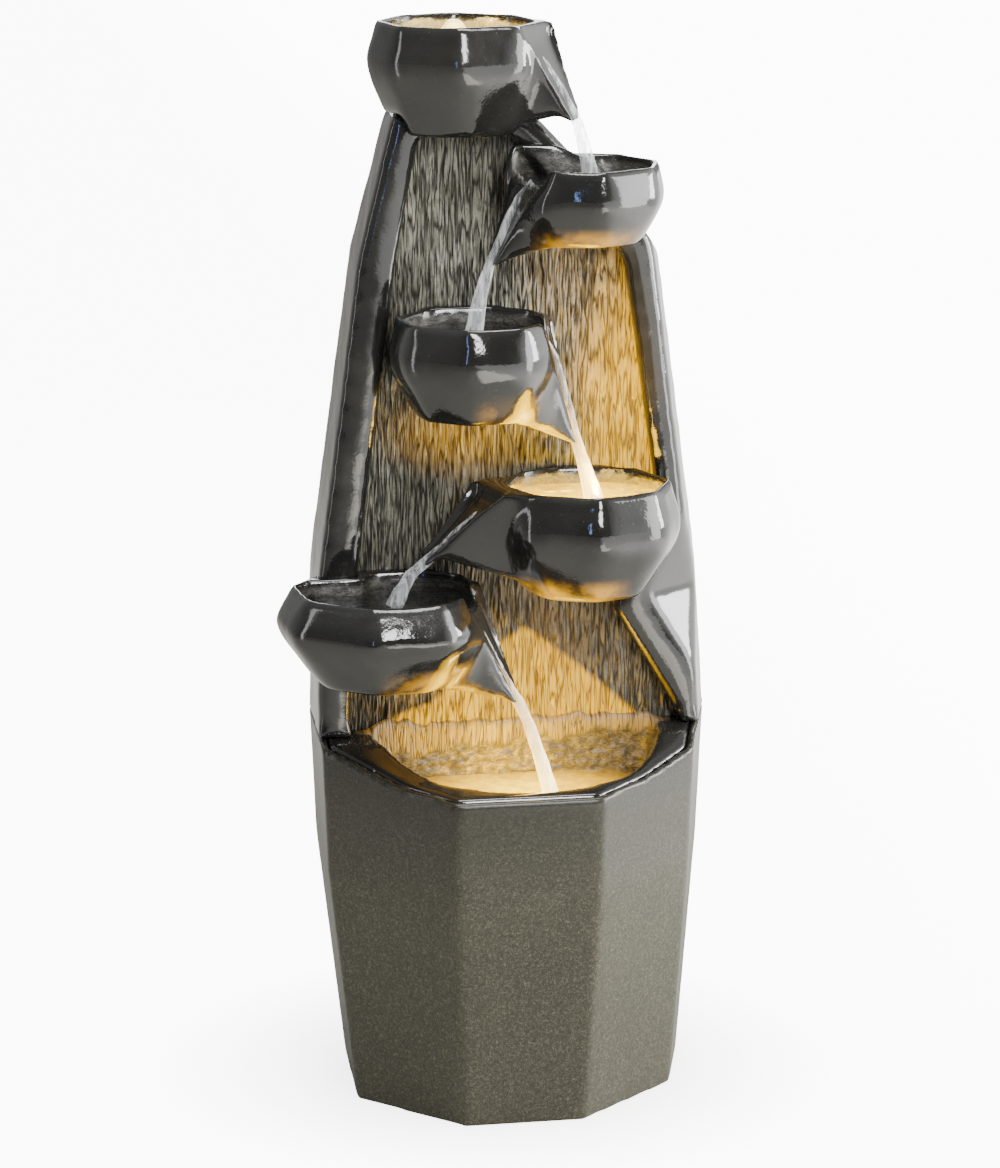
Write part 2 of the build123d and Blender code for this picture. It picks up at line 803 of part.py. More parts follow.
with BuildPart() as door_magnets:
    with BuildSketch(door_seat):
        with GridLocations(catch_spread, 1.0, 2, 1):
            Circle(magnet_radius)
    extrude(amount=magnet_height)
save(door_magnets.part, "door_magnets")

with BuildPart() as door_catches:
    with BuildSketch(door_seat):
        with GridLocations(catch_spread, 1.0, 2, 1):
            Circle(magnet_radius)
    extrude(amount=-magnet_height)
save(door_catches.part, "door_catches")

with BuildPart() as door_knob:
    with BuildSketch(back_face):
        Circle(knob_neck_radius)
    extrude(amount=knob_neck)
    with BuildSketch(back_face.offset(knob_neck)):
        Circle(knob_radius)
    extrude(amount=knob_head)
    chamfer(door_knob.edges().filter_by(GeomType.CIRCLE).sort_by(Axis.Y)[-1], length=knob_head / 4)
    with BuildSketch(back_face):
        Circle(knob_screw_radius + knob_screw_gap)
    extrude(amount=knob_screw_bite + knob_screw_gap, mode=Mode.SUBTRACT)
save(door_knob.part, "door_knob")

with BuildPart() as knob_screw:
    with BuildSketch(door_seat):
        Circle(knob_screw_head_radius)
    extrude(amount=-knob_screw_head)
    with BuildSketch(door_seat):
        Circle(knob_screw_radius)
    extrude(amount=door_thickness + knob_screw_bite)
save(knob_screw.part, "knob_screw")

# Grommet that the cord leaves by
grommet_face = Plane(origin=(0, back_reach, grommet_z), x_dir=(-1, 0, 0), z_dir=(0, 1, 0))
with BuildPart() as cord_grommet:
    with BuildSketch(grommet_face):
        Circle(grommet_hole_radius - grommet_gap)
    extrude(amount=-column_wall)
    with BuildSketch(grommet_face):
        Circle(grommet_flange_radius)
    extrude(amount=grommet_flange)
    with BuildSketch(grommet_face.offset(-column_wall)):
        Circle(grommet_flange_radius)
    extrude(amount=-grommet_flange)
    with Locations((0, back_reach, grommet_z)):
        Cylinder(grommet_bore_radius, 6 * column_wall, rotation=(90, 0, 0), mode=Mode.SUBTRACT)
save(cord_grommet.part, "cord_grommet")

# Outlet fitting that clamps the top bowl to the column
pool_floor_z = deck_height + plateau_rise + bowl_wall
crown_under_z = deck_height + plateau_rise - column_wall
stem_foot_z = crown_under_z - nut_height - nozzle_thread_show
flange_z = pool_floor_z + gasket_thickness
hose_radius = hose_bore_radius + hose_wall
barb_radius = hose_bore_radius - barb_gap


def riser_level(height):
    """Level plane at a height, centred on the upper run of the riser."""
    return Plane(origin=(riser_x, riser_y, height))


with BuildPart() as outlet_nozzle:
    with BuildSketch(riser_level(stem_foot_z)):
        Circle(nozzle_stem_radius)
    extrude(amount=flange_z - stem_foot_z)
    with BuildSketch(riser_level(flange_z)):
        Circle(nozzle_flange_radius)
    extrude(amount=nozzle_flange)
    with BuildSketch(riser_level(flange_z)):
        Circle(nozzle_pipe_radius)
    extrude(amount=top_bowl.rim_z - nozzle_pipe_top_drop - flange_z)
    with BuildSketch(riser_level(stem_foot_z)):
        Circle(barb_radius)
    extrude(amount=-barb_length)
    with BuildSketch(riser_level(stem_foot_z - barb_length)):
        Circle(nozzle_bore_radius)
    extrude(amount=far, mode=Mode.SUBTRACT)
save(outlet_nozzle.part, "outlet_nozzle")

with BuildPart() as nozzle_gasket:
    with BuildSketch(riser_level(pool_floor_z)):
        Circle(nozzle_flange_radius)
        Circle(nozzle_stem_radius + hole_gap, mode=Mode.SUBTRACT)
    extrude(amount=gasket_thickness)
save(nozzle_gasket.part, "nozzle_gasket")

with BuildPart() as nozzle_nut:
    with BuildSketch(riser_level(crown_under_z)):
        RegularPolygon(nut_across / 2, 6, major_radius=False)
        Circle(nozzle_stem_radius + hole_gap, mode=Mode.SUBTRACT)
    extrude(amount=-nut_height)
save(nozzle_nut.part, "nozzle_nut")

# Pump, lying along X on the floor of the tub, with its chamber under the riser
pump_foot_z = tub_floor + foot_height
pump_z = pump_foot_z + pump_height / 2
pump_top_z = pump_foot_z + pump_height
cover_near = riser_x + cover_length / 2
cover_far = riser_x - cover_length / 2
motor_end = cover_near + motor_length
well_end = cover_near + rotor_length + 2 * end_play
spigot_side = pump_width - 2 * strainer_wall - 2 * strainer_gap
dial_set = 2 * strainer_gap


def pump_cross(x):
    """Plane across the pump's axis at x, facing +X, with local x along +Y."""
    return Plane(origin=(x, pump_y, pump_z), x_dir=(0, 1, 0), z_dir=(1, 0, 0))


with BuildPart() as pump_housing:
    with BuildSketch(pump_cross(cover_near)):
        Rectangle(pump_width, pump_height)
    extrude(amount=motor_length)
    fillet(pump_housing.edges().filter_by(Axis.X), radius=pump_corner_radius)
    with BuildSketch(pump_cross(cover_near)):
        Circle(rotor_radius + rotor_gap)
    extrude(amount=well_end - cover_near, mode=Mode.SUBTRACT)
    with BuildSketch(pump_cross(well_end)):
        Circle(shaft_radius + shaft_gap)
    extrude(amount=shaft_seat, mode=Mode.SUBTRACT)
save(pump_housing.part, "pump_housing")

with BuildPart() as pump_cover:
    with BuildSketch(pump_cross(cover_far)):
        Rectangle(pump_width, pump_height)
    extrude(amount=cover_length)
    fillet(pump_cover.edges().filter_by(Axis.X), radius=pump_corner_radius)
    with BuildSketch(pump_cross(cover_far)):
        Rectangle(spigot_side, spigot_side)
    extrude(amount=-spigot_length)
    with BuildSketch(pump_cross(cover_far + cover_wall)):
        Circle(chamber_radius)
    extrude(amount=cover_length, mode=Mode.SUBTRACT)
    with BuildSketch(pump_cross(cover_far - spigot_length)):
        Circle(intake_radius)
        Circle(intake_hub_radius, mode=Mode.SUBTRACT)
        Rectangle(3 * intake_radius, intake_bar, mode=Mode.SUBTRACT)
    extrude(amount=spigot_length + 2 * cover_wall, mode=Mode.SUBTRACT)
    with BuildSketch(pump_cross(cover_far - spigot_length)):
        Circle(shaft_radius + shaft_gap)
    extrude(amount=spigot_length + 2 * cover_wall, mode=Mode.SUBTRACT)
    with BuildSketch(Plane(origin=(riser_x, pump_y, pump_top_z))):
        Circle(nozzle_bore_radius)
    extrude(amount=-pump_height / 2, mode=Mode.SUBTRACT)
save(pump_cover.part, "pump_cover")

with BuildPart() as pump_shaft:
    with BuildSketch(pump_cross(cover_far)):
        Circle(shaft_radius)
    extrude(amount=well_end + shaft_seat - cover_far)
save(pump_shaft.part, "pump_shaft")

wheel_near = cover_near + end_play
with BuildPart() as pump_impeller:
    with BuildSketch(pump_cross(wheel_near)):
        Circle(rotor_radius)
    extrude(amount=rotor_length)
    with BuildSketch(pump_cross(wheel_near - 2 * end_play)):
        Circle(wheel_radius)
    extrude(amount=-wheel_plate)
    with BuildSketch(pump_cross(wheel_near)):
        Circle(wheel_hub_radius)
    extrude(amount=-2 * end_play - wheel_plate - vane_height)
    with BuildSketch(pump_cross(wheel_near - 2 * end_play)):
        with PolarLocations(wheel_radius / 2, vane_count):
            Rectangle(wheel_radius, vane_thickness)
    extrude(amount=-wheel_plate - vane_height)
    with BuildSketch(pump_cross(wheel_near - far / 2)):
        Circle(shaft_radius + shaft_gap)
    extrude(amount=far, mode=Mode.SUBTRACT)
save(pump_impeller.part, "pump_impeller")

with BuildPart() as pump_outlet:
    with BuildSketch(Plane(origin=(riser_x, pump_y, pump_top_z))):
        Circle(outlet_flange_radius)
    extrude(amount=outlet_flange)
    with BuildSketch(Plane(origin=(riser_x, pump_y, pump_top_z + outlet_flange))):
        Circle(barb_radius)
    extrude(amount=barb_length)
    with BuildSketch(Plane(origin=(riser_x, pump_y, pump_top_z))):
        Circle(nozzle_bore_radius)
    extrude(amount=far, mode=Mode.SUBTRACT)
save(pump_outlet.part, "pump_outlet")

strainer_end = cover_far - strainer_length
slot_length = pump_width - 2 * slot_pitch
with BuildPart() as pump_strainer:
    with BuildSketch(pump_cross(cover_far)):
        Rectangle(pump_width, pump_height)
    extrude(amount=-strainer_length)
    fillet(pump_strainer.edges().filter_by(Axis.X), radius=pump_corner_radius)
    with BuildSketch(pump_cross(cover_far)):
        Rectangle(pump_width - 2 * strainer_wall, pump_height - 2 * strainer_wall)
    extrude(amount=strainer_wall - strainer_length, mode=Mode.SUBTRACT)
    with Locations((cover_far - spigot_length - (strainer_length - spigot_length) / 2, pump_y, pump_z)):
        with GridLocations(slot_pitch, 1.0, slot_count, 1):
            Box(slot_width, slot_length, 2 * pump_height, mode=Mode.SUBTRACT)
            Box(slot_width, 2 * pump_width, slot_length, mode=Mode.SUBTRACT)
    with BuildSketch(pump_cross(strainer_end)):
        Circle(dial_stem_radius + dial_stem_gap)
    extrude(amount=2 * strainer_wall, mode=Mode.SUBTRACT)
save(pump_strainer.part, "pump_strainer")

with BuildPart() as flow_dial:
    with BuildSketch(pump_cross(strainer_end - dial_set)):
        Circle(dial_radius)
        with Locations((0, dial_radius)):
            Rectangle(dial_finger, dial_finger)
    extrude(amount=-dial_height)
    with BuildSketch(pump_cross(strainer_end - dial_set)):
        Circle(dial_stem_radius)
    extrude(amount=strainer_wall + 2 * dial_set)
    with BuildSketch(pump_cross(strainer_end + strainer_wall + dial_set)):
        Circle(dial_keeper_radius)
    extrude(amount=dial_keeper)
save(flow_dial.part, "flow_dial")

foot_spread = motor_length - 2 * foot_set
with BuildPart() as pump_feet:
    with Locations(((cover_near + motor_end) / 2, pump_y, tub_floor)):
        with GridLocations(foot_spread, pump_width - 2 * foot_set, 2, 2):
            Cone(foot_lip_radius, foot_top_radius, foot_height,
                 align=(Align.CENTER, Align.CENTER, Align.MIN))
save(pump_feet.part, "pump_feet")

# Riser hose from the pump to the top bowl, with its clamps and clips
hose_foot_z = pump_top_z + outlet_flange
swing_top_z = hose_foot_z + hose_lead + hose_swing
with BuildPart() as riser_hose:
    with BuildLine() as hose_line:
        FilletPolyline((riser_x, pump_y, hose_foot_z), (riser_x, pump_y, hose_foot_z + hose_lead),
                       (riser_x, riser_y, swing_top_z), (riser_x, riser_y, stem_foot_z),
                       radius=hose_bend_radius)
    with BuildSketch(Plane(origin=(riser_x, pump_y, hose_foot_z))):
        Circle(hose_radius)
        Circle(hose_bore_radius, mode=Mode.SUBTRACT)
    sweep()
save(riser_hose.part, "riser_hose")

clamp_set = (barb_length - clamp_height) / 2
with BuildPart() as hose_clamps:
    for clamp_y, clamp_z in ((pump_y, hose_foot_z + clamp_set),
                             (riser_y, stem_foot_z - barb_length + clamp_set)):
        with BuildSketch(Plane(origin=(riser_x, clamp_y, clamp_z))):
            Circle(hose_radius + barb_gap + clamp_wall)
            with Locations((0, hose_radius + clamp_lug / 2)):
                Rectangle(clamp_lug, clamp_lug)
            Circle(hose_radius + barb_gap, mode=Mode.SUBTRACT)
        extrude(amount=clamp_height)
save(hose_clamps.part, "hose_clamps")

clip_half = hose_radius + clip_wall
clip_places = [deck_height + clip_rise for clip_rise in clip_rises]
clip_places.append(stem_foot_z - barb_length - top_clip_drop)
with BuildPart() as hose_clips:
    for clip_z in clip_places:
        with BuildSketch(riser_level(clip_z)):
            Circle(clip_half)
            with Locations((0, -riser_stand_off / 2)):
                Rectangle(2 * clip_half, riser_stand_off)
            Circle(hose_radius + clip_gap, mode=Mode.SUBTRACT)
        extrude(amount=clip_width)
save(hose_clips.part, "hose_clips")

# Lights: a ring round the outlet in the top bowl, and a puck in the fourth bowl and in the basin
ring_bore = nozzle_flange_radius + ring_gap
lens_inner = ring_bore + led_wall / 2
lens_outer = ring_radius - led_wall / 2
with BuildPart() as top_led_housing:
    with BuildSketch(riser_level(pool_floor_z)):
        Circle(ring_radius)
        Circle(ring_bore, mode=Mode.SUBTRACT)
    extrude(amount=ring_height)
    with BuildSketch(riser_level(pool_floor_z + ring_height)):
        Circle(lens_outer)
        Circle(lens_inner, mode=Mode.SUBTRACT)
    extrude(amount=-ring_height / 2, mode=Mode.SUBTRACT)
save(top_led_housing.part, "top_led_housing")

with BuildPart() as top_led_lens:
    with BuildSketch(riser_level(pool_floor_z + ring_height / 2)):
        Circle(lens_outer - led_gap)
        Circle(lens_inner + led_gap, mode=Mode.SUBTRACT)
    extrude(amount=ring_height / 2 + lens_rise)
save(top_led_lens.part, "top_led_lens")

puck_places = {
    "bowl": (lit_bowl.x + bowl_led_right, panel_face - bowl_led_ahead, lit_bowl.low_z + bowl_floor),
    "basin": (basin_led_x, panel_face - basin_led_ahead, dish_floor_height),
}
puck_bore = led_radius - led_wall
for light, (puck_x, puck_y, puck_z) in puck_places.items():
    recess_z = puck_z + led_height - led_recess
    with BuildPart() as led_housing:
        with BuildSketch(Plane(origin=(puck_x, puck_y, puck_z))):
            Circle(led_radius)
        extrude(amount=led_height)
        with BuildSketch(Plane(origin=(puck_x, puck_y, recess_z))):
            Circle(puck_bore)
        extrude(amount=far, mode=Mode.SUBTRACT)
    save(led_housing.part, f"{light}_led_housing")

    with BuildPart() as led_lens:
        with BuildSketch(Plane(origin=(puck_x, puck_y, recess_z + led_seal))):
            Circle(puck_bore - led_gap)
        extrude(amount=led_recess - led_seal + lens_rise)
        fillet(led_lens.faces().sort_by(Axis.Z)[-1].edges(), radius=lens_rise)
    save(led_lens.part, f"{light}_led_lens")

with BuildPart() as led_seals:
    for puck_x, puck_y, puck_z in puck_places.values():
        with BuildSketch(Plane(origin=(puck_x, puck_y, puck_z + led_height - led_recess))):
            Circle(puck_bore - led_gap)
            Circle(puck_bore - led_wall, mode=Mode.SUBTRACT)
        extrude(amount=led_seal)
save(led_seals.part, "led_seals")
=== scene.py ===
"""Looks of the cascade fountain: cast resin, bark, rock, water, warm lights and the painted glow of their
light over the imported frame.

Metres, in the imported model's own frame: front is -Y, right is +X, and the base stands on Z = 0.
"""

import json
import logging
import math
from contextlib import contextmanager
from dataclasses import dataclass, field
from enum import Enum
from typing import Callable, Iterator

import bmesh
import bpy
from mathutils import Euler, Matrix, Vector


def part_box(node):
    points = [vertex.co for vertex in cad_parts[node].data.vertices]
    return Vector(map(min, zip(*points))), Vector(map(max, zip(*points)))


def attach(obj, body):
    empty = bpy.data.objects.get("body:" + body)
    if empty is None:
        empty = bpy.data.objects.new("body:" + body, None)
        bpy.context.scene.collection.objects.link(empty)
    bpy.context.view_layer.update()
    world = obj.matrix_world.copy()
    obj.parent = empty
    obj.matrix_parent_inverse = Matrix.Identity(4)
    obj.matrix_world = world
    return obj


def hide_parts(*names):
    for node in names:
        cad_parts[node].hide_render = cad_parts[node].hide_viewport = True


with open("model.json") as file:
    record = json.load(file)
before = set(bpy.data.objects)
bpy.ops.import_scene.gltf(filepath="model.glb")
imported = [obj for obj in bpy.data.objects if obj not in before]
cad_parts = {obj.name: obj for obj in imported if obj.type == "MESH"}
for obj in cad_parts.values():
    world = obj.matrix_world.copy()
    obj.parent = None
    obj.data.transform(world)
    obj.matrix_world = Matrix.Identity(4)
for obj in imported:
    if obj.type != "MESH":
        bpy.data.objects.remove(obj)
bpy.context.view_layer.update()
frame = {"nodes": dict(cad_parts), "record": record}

log = logging.getLogger("fountain")

Point = tuple[float, float, float]
Colour = tuple[float, float, float]
Band = tuple[float, float]
Socket = bpy.types.NodeSocket
Share = Callable[[Vector, Vector], float]

BLACK: Colour = (0.0, 0.0, 0.0)
WHITE: Colour = (1.0, 1.0, 1.0)
MERGE = 1e-5


class Body(Enum):
    """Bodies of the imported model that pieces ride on."""

    FIXED = "body"
    DOOR = "door"


class Mask(Enum):
    """Attributes that a piece carries for its finish."""

    ROUGH = "rough"
    RIDGE = "ridge"
    # The warm mask marks the painted reflection of the lamps below on the bowls' undersides.
    WARM = "warm"
    BARK = "bark"


class Noise(Enum):
    """Kinds of surface noise that a piece is displaced by."""

    CLOUDS = "CLOUDS"
    CREASES = "CREASES"


def only(piece: bpy.types.Object) -> None:
    """Select one piece alone and make it active.

    Args:
        piece: the object to work on.
    """
    bpy.ops.object.select_all(action="DESELECT")
    piece.select_set(True)
    bpy.context.view_layer.objects.active = piece


def settle(piece: bpy.types.Object) -> None:
    """Put a piece's place, turn and scale into its mesh."""
    only(piece)
    bpy.ops.object.transform_apply(location=True, rotation=True, scale=True)


def start(name: str, add: Callable[..., set[str]], **sizes: object) -> bpy.types.Object:
    """Add a primitive or a light with nothing else selected.

    Args:
        name: the new object's name.
        add: the operator that adds it.
        sizes: the operator's values by name.

    Returns:
        The new object, selected and active.
    """
    bpy.ops.object.select_all(action="DESELECT")
    add(**sizes)
    piece = bpy.context.active_object
    piece.name = name
    return piece


@contextmanager
def editing(piece: bpy.types.Object, whole: bool = False) -> Iterator[bmesh.types.BMesh]:
    """Open a piece in edit mode.

    Args:
        piece: the mesh object to edit.
        whole: whether all of it starts selected, or nothing.

    Returns:
        The edit mesh, for selecting by place or normal.
    """
    only(piece)
    bpy.ops.object.mode_set(mode="EDIT")
    bpy.ops.mesh.select_mode(type="VERT")
    bpy.ops.mesh.select_all(action="SELECT" if whole else "DESELECT")
    yield bmesh.from_edit_mesh(piece.data)
    bpy.ops.object.mode_set(mode="OBJECT")


def copy_node(node: str, name: str) -> bpy.types.Object:
    """Copy a CAD node's mesh into a new object and merge its loose triangles.

    Args:
        node: the CAD node.
        name: the new object's name.

    Returns:
        The new object, at the origin.
    """
    piece = bpy.data.objects.new(name, frame["nodes"][node].data.copy())
    bpy.context.collection.objects.link(piece)
    with editing(piece, whole=True):
        bpy.ops.mesh.remove_doubles(threshold=MERGE)
    return piece


def choose(mesh: bmesh.types.BMesh, piece: bpy.types.Object, test: Callable[[Vector], bool]) -> None:
    """Select the vertices of an edit mesh whose places pass a test, and no others.

    Args:
        mesh: the edit mesh.
        piece: the object that owns it.
        test: says whether a place is wanted.
    """
    for vertex in mesh.verts:
        vertex.select = test(vertex.co)
    mesh.select_flush_mode()
    bmesh.update_edit_mesh(piece.data)


def heave(rise: float, reach: float) -> None:
    """Raise the selected points, and those within reach of them less and less."""
    bpy.ops.transform.translate(value=(0.0, 0.0, rise), use_proportional_edit=True,
                                proportional_edit_falloff="SMOOTH", proportional_size=reach)


def apply(piece: bpy.types.Object, kind: str, **settings: object) -> None:
    """Add one modifier to a piece and apply it.

    Args:
        piece: the object to change.
        kind: the modifier's type.
        settings: the modifier's values by name.
    """
    only(piece)
    modifier = piece.modifiers.new(kind.lower(), kind)
    for name, value in settings.items():
        setattr(modifier, name, value)
    bpy.ops.object.modifier_apply(modifier=modifier.name)


def roughen(piece: bpy.types.Object, noise: Noise, scale: Point, height: float, depth: int = 2,
            group: str = "", direction: str = "NORMAL") -> None:
    """Displace a piece by one layer of noise.

    Args:
        piece: the object to displace.
        noise: the kind of noise.
        scale: size of the noise along each axis.
        height: full height of the displacement.
        depth: levels of detail.
        group: vertex group that limits it, if any.
        direction: way that the points move.
    """
    texture = bpy.data.textures.new("layer", "CLOUDS")
    texture.noise_scale = 1.0
    texture.noise_depth = depth
    texture.noise_type = "HARD_NOISE" if noise is Noise.CREASES else "SOFT_NOISE"
    bpy.ops.object.empty_add(type="PLAIN_AXES")
    ruler = bpy.context.active_object
    ruler.scale = scale
    bpy.context.view_layer.update()
    apply(piece, "DISPLACE", texture=texture, texture_coords="OBJECT", texture_coords_object=ruler,
          strength=height, mid_level=0.5, vertex_group=group, direction=direction)
    bpy.data.objects.remove(ruler)
    bpy.data.textures.remove(texture)


def weigh(piece: bpy.types.Object, name: str, weight: Share) -> str:
    """Give a piece a vertex group by the place and normal of each point.

    Args:
        piece: the object that gets the group.
        name: the group's name.
        weight: share of each point, from 0 to 1.

    Returns:
        The group's name.
    """
    shares: dict[float, list[int]] = {}
    for vertex in piece.data.vertices:
        share = round(min(1.0, max(0.0, weight(vertex.co, vertex.normal))), 2)
        if share > 0.0:
            shares.setdefault(share, []).append(vertex.index)
    group = piece.vertex_groups.get(name) or piece.vertex_groups.new(name=name)
    for share, members in shares.items():
        group.add(members, share, "REPLACE")
    return group.name


def smooth(piece: bpy.types.Object, name: str, share: Share, rounds: int, level: bool = False) -> str:
    """Smooth a piece by a share of each point.

    Args:
        piece: the object to smooth.
        name: name of the vertex group that keeps the shares.
        share: share of each point, from 0 to 1.
        rounds: how often it is smoothed.
        level: whether the points keep their height.

    Returns:
        The group's name.
    """
    group = weigh(piece, name, share)
    apply(piece, "SMOOTH", factor=0.5, iterations=rounds, use_z=not level, vertex_group=group)
    return group


def push(piece: bpy.types.Object, group: str, height: float, direction: str = "NORMAL") -> None:
    """Move a piece by one height, as far as each point's share in a group."""
    apply(piece, "DISPLACE", direction=direction, strength=height, mid_level=0.0, vertex_group=group)


def mark(piece: bpy.types.Object, mask: Mask, value: Share) -> None:
    """Store a mask on a piece's points for its finish.

    Args:
        piece: the object that carries the mask.
        mask: which mask it is.
        value: value at each place and normal.
    """
    layer = piece.data.attributes.new(mask.value, "FLOAT", "POINT")
    layer.data.foreach_set("value", [value(v.co, v.normal) for v in piece.data.vertices])


def ease(value: float, low: float, high: float) -> float:
    """Smooth step of a value between two limits, either way round."""
    share = min(1.0, max(0.0, (value - low) / (high - low)))
    return share * share * (3.0 - 2.0 * share)


def ease_from(value: float, origin: float, band: Band) -> float:
    """Smooth step of a value over a band that is measured from an origin."""
    return ease(value, origin + band[0], origin + band[1])


def publish(piece: bpy.types.Object, finish: bpy.types.Material, body: Body = Body.FIXED,
            stands_for: tuple[str, ...] = (), crease: float = 60.0) -> bpy.types.Object:
    """Shade a finished piece, give it its material and tie it to the frame.

    Args:
        piece: the finished object.
        finish: its material.
        body: the body that it rides on.
        stands_for: CAD nodes that it replaces.
        crease: angle in degrees above which an edge stays sharp.

    Returns:
        The same piece.
    """
    settle(piece)
    bpy.ops.object.shade_smooth_by_angle(angle=math.radians(crease))
    piece.data.materials.clear()
    piece.data.materials.append(finish)
    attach(piece, body.value)
    if stands_for:
        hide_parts(*stands_for)
    log.info("%s: %d points on %s", piece.name, len(piece.data.vertices), body.value)
    return piece


def aimed(way: Vector) -> Euler:
    """Turn that points a light or the camera along a way."""
    return way.to_track_quat("-Z", "Y").to_euler()


class Bench:
    """Lays nodes in one tree and links them."""

    def __init__(self, tree: bpy.types.NodeTree) -> None:
        """Keep the tree to work in."""
        self.tree = tree

    def add(self, kind: str, inputs: dict | None = None, **settings: object) -> bpy.types.Node:
        """Add one node.

        Args:
            kind: the node's type, without its ShaderNode prefix where it has one.
            inputs: values or sockets for its inputs, by name or number.
            settings: the node's own values.

        Returns:
            The new node.
        """
        node = self.tree.nodes.new(kind if kind.startswith("Node") else f"ShaderNode{kind}")
        for name, value in settings.items():
            setattr(node, name, value)
        for key, value in (inputs or {}).items():
            self.feed(node, key, value)
        return node

    def feed(self, node: bpy.types.Node, key: int | str, value: object) -> None:
        """Link a socket to one input of a node, or set the input's own value.

        Args:
            node: the node.
            key: the input's name or number.
            value: socket, number, colour or point.
        """
        entry = node.inputs[key]
        if isinstance(value, Socket):
            self.tree.links.new(value, entry)
        elif entry.type == "RGBA":
            entry.default_value = (*value, 1.0)
        else:
            entry.default_value = value

    def math(self, operation: str, first: object, second: object = 0.0, clamp: bool = False) -> Socket:
        """Sum or compare two values.

        Args:
            operation: the kind of sum.
            first: value or socket.
            second: value or socket.
            clamp: whether the result stays from 0 to 1.

        Returns:
            The result.
        """
        node = self.add("Math", {0: first, 1: second}, operation=operation, use_clamp=clamp)
        return node.outputs[0]

    def blend(self, share: object, first: object, second: object, kind: str = "MIX") -> Socket:
        """Mix two colours.

        Args:
            share: how much of the second.
            first: colour or socket.
            second: colour or socket.
            kind: way of mixing.

        Returns:
            The mixed colour.
        """
        node = self.add("Mix", data_type="RGBA", blend_type=kind)
        for number, value in ((0, share), (6, first), (7, second)):
            self.feed(node, number, value)
        return node.outputs[2]

    def span(self, value: Socket, low: float, high: float, start: float, end: float) -> Socket:
        """Map a value from one span to another, held at the ends.

        Args:
            value: the socket to map.
            low: where the first span starts.
            high: where it ends.
            start: result at low.
            end: result at high.

        Returns:
            The mapped value.
        """
        node = self.add("MapRange", {0: value, 1: low, 2: high, 3: start, 4: end})
        return node.outputs[0]

    def place(self) -> Socket:
        """Object coordinates."""
        return self.add("TexCoord").outputs["Object"]

    def distance(self, point: Point) -> Socket:
        """Distance of each place from a point."""
        return self.add("VectorMath", {0: self.place(), 1: point}, operation="DISTANCE").outputs["Value"]

    def along(self, axis: str) -> Socket:
        """Each place's distance along one axis."""
        return self.add("SeparateXYZ", {0: self.place()}).outputs[axis]

    def mask(self, mask: Mask) -> Socket:
        """A mask that the piece carries."""
        return self.add("Attribute", attribute_name=mask.value).outputs["Fac"]

    def group(self, tree: bpy.types.NodeTree, inputs: dict) -> bpy.types.Node:
        """A shared group, with its own values by name."""
        return self.add("Group", inputs, node_tree=tree)

    def emboss(self, shader: bpy.types.Node, strength: float, distance: float, height: Socket) -> None:
        """Give a shader fine relief.

        Args:
            shader: the Principled node.
            strength: how much of the relief shows.
            distance: its full height.
            height: the relief at each place.
        """
        bump = self.add("Bump", {"Strength": strength, "Distance": distance, "Height": height})
        self.feed(shader, "Normal", bump.outputs[0])


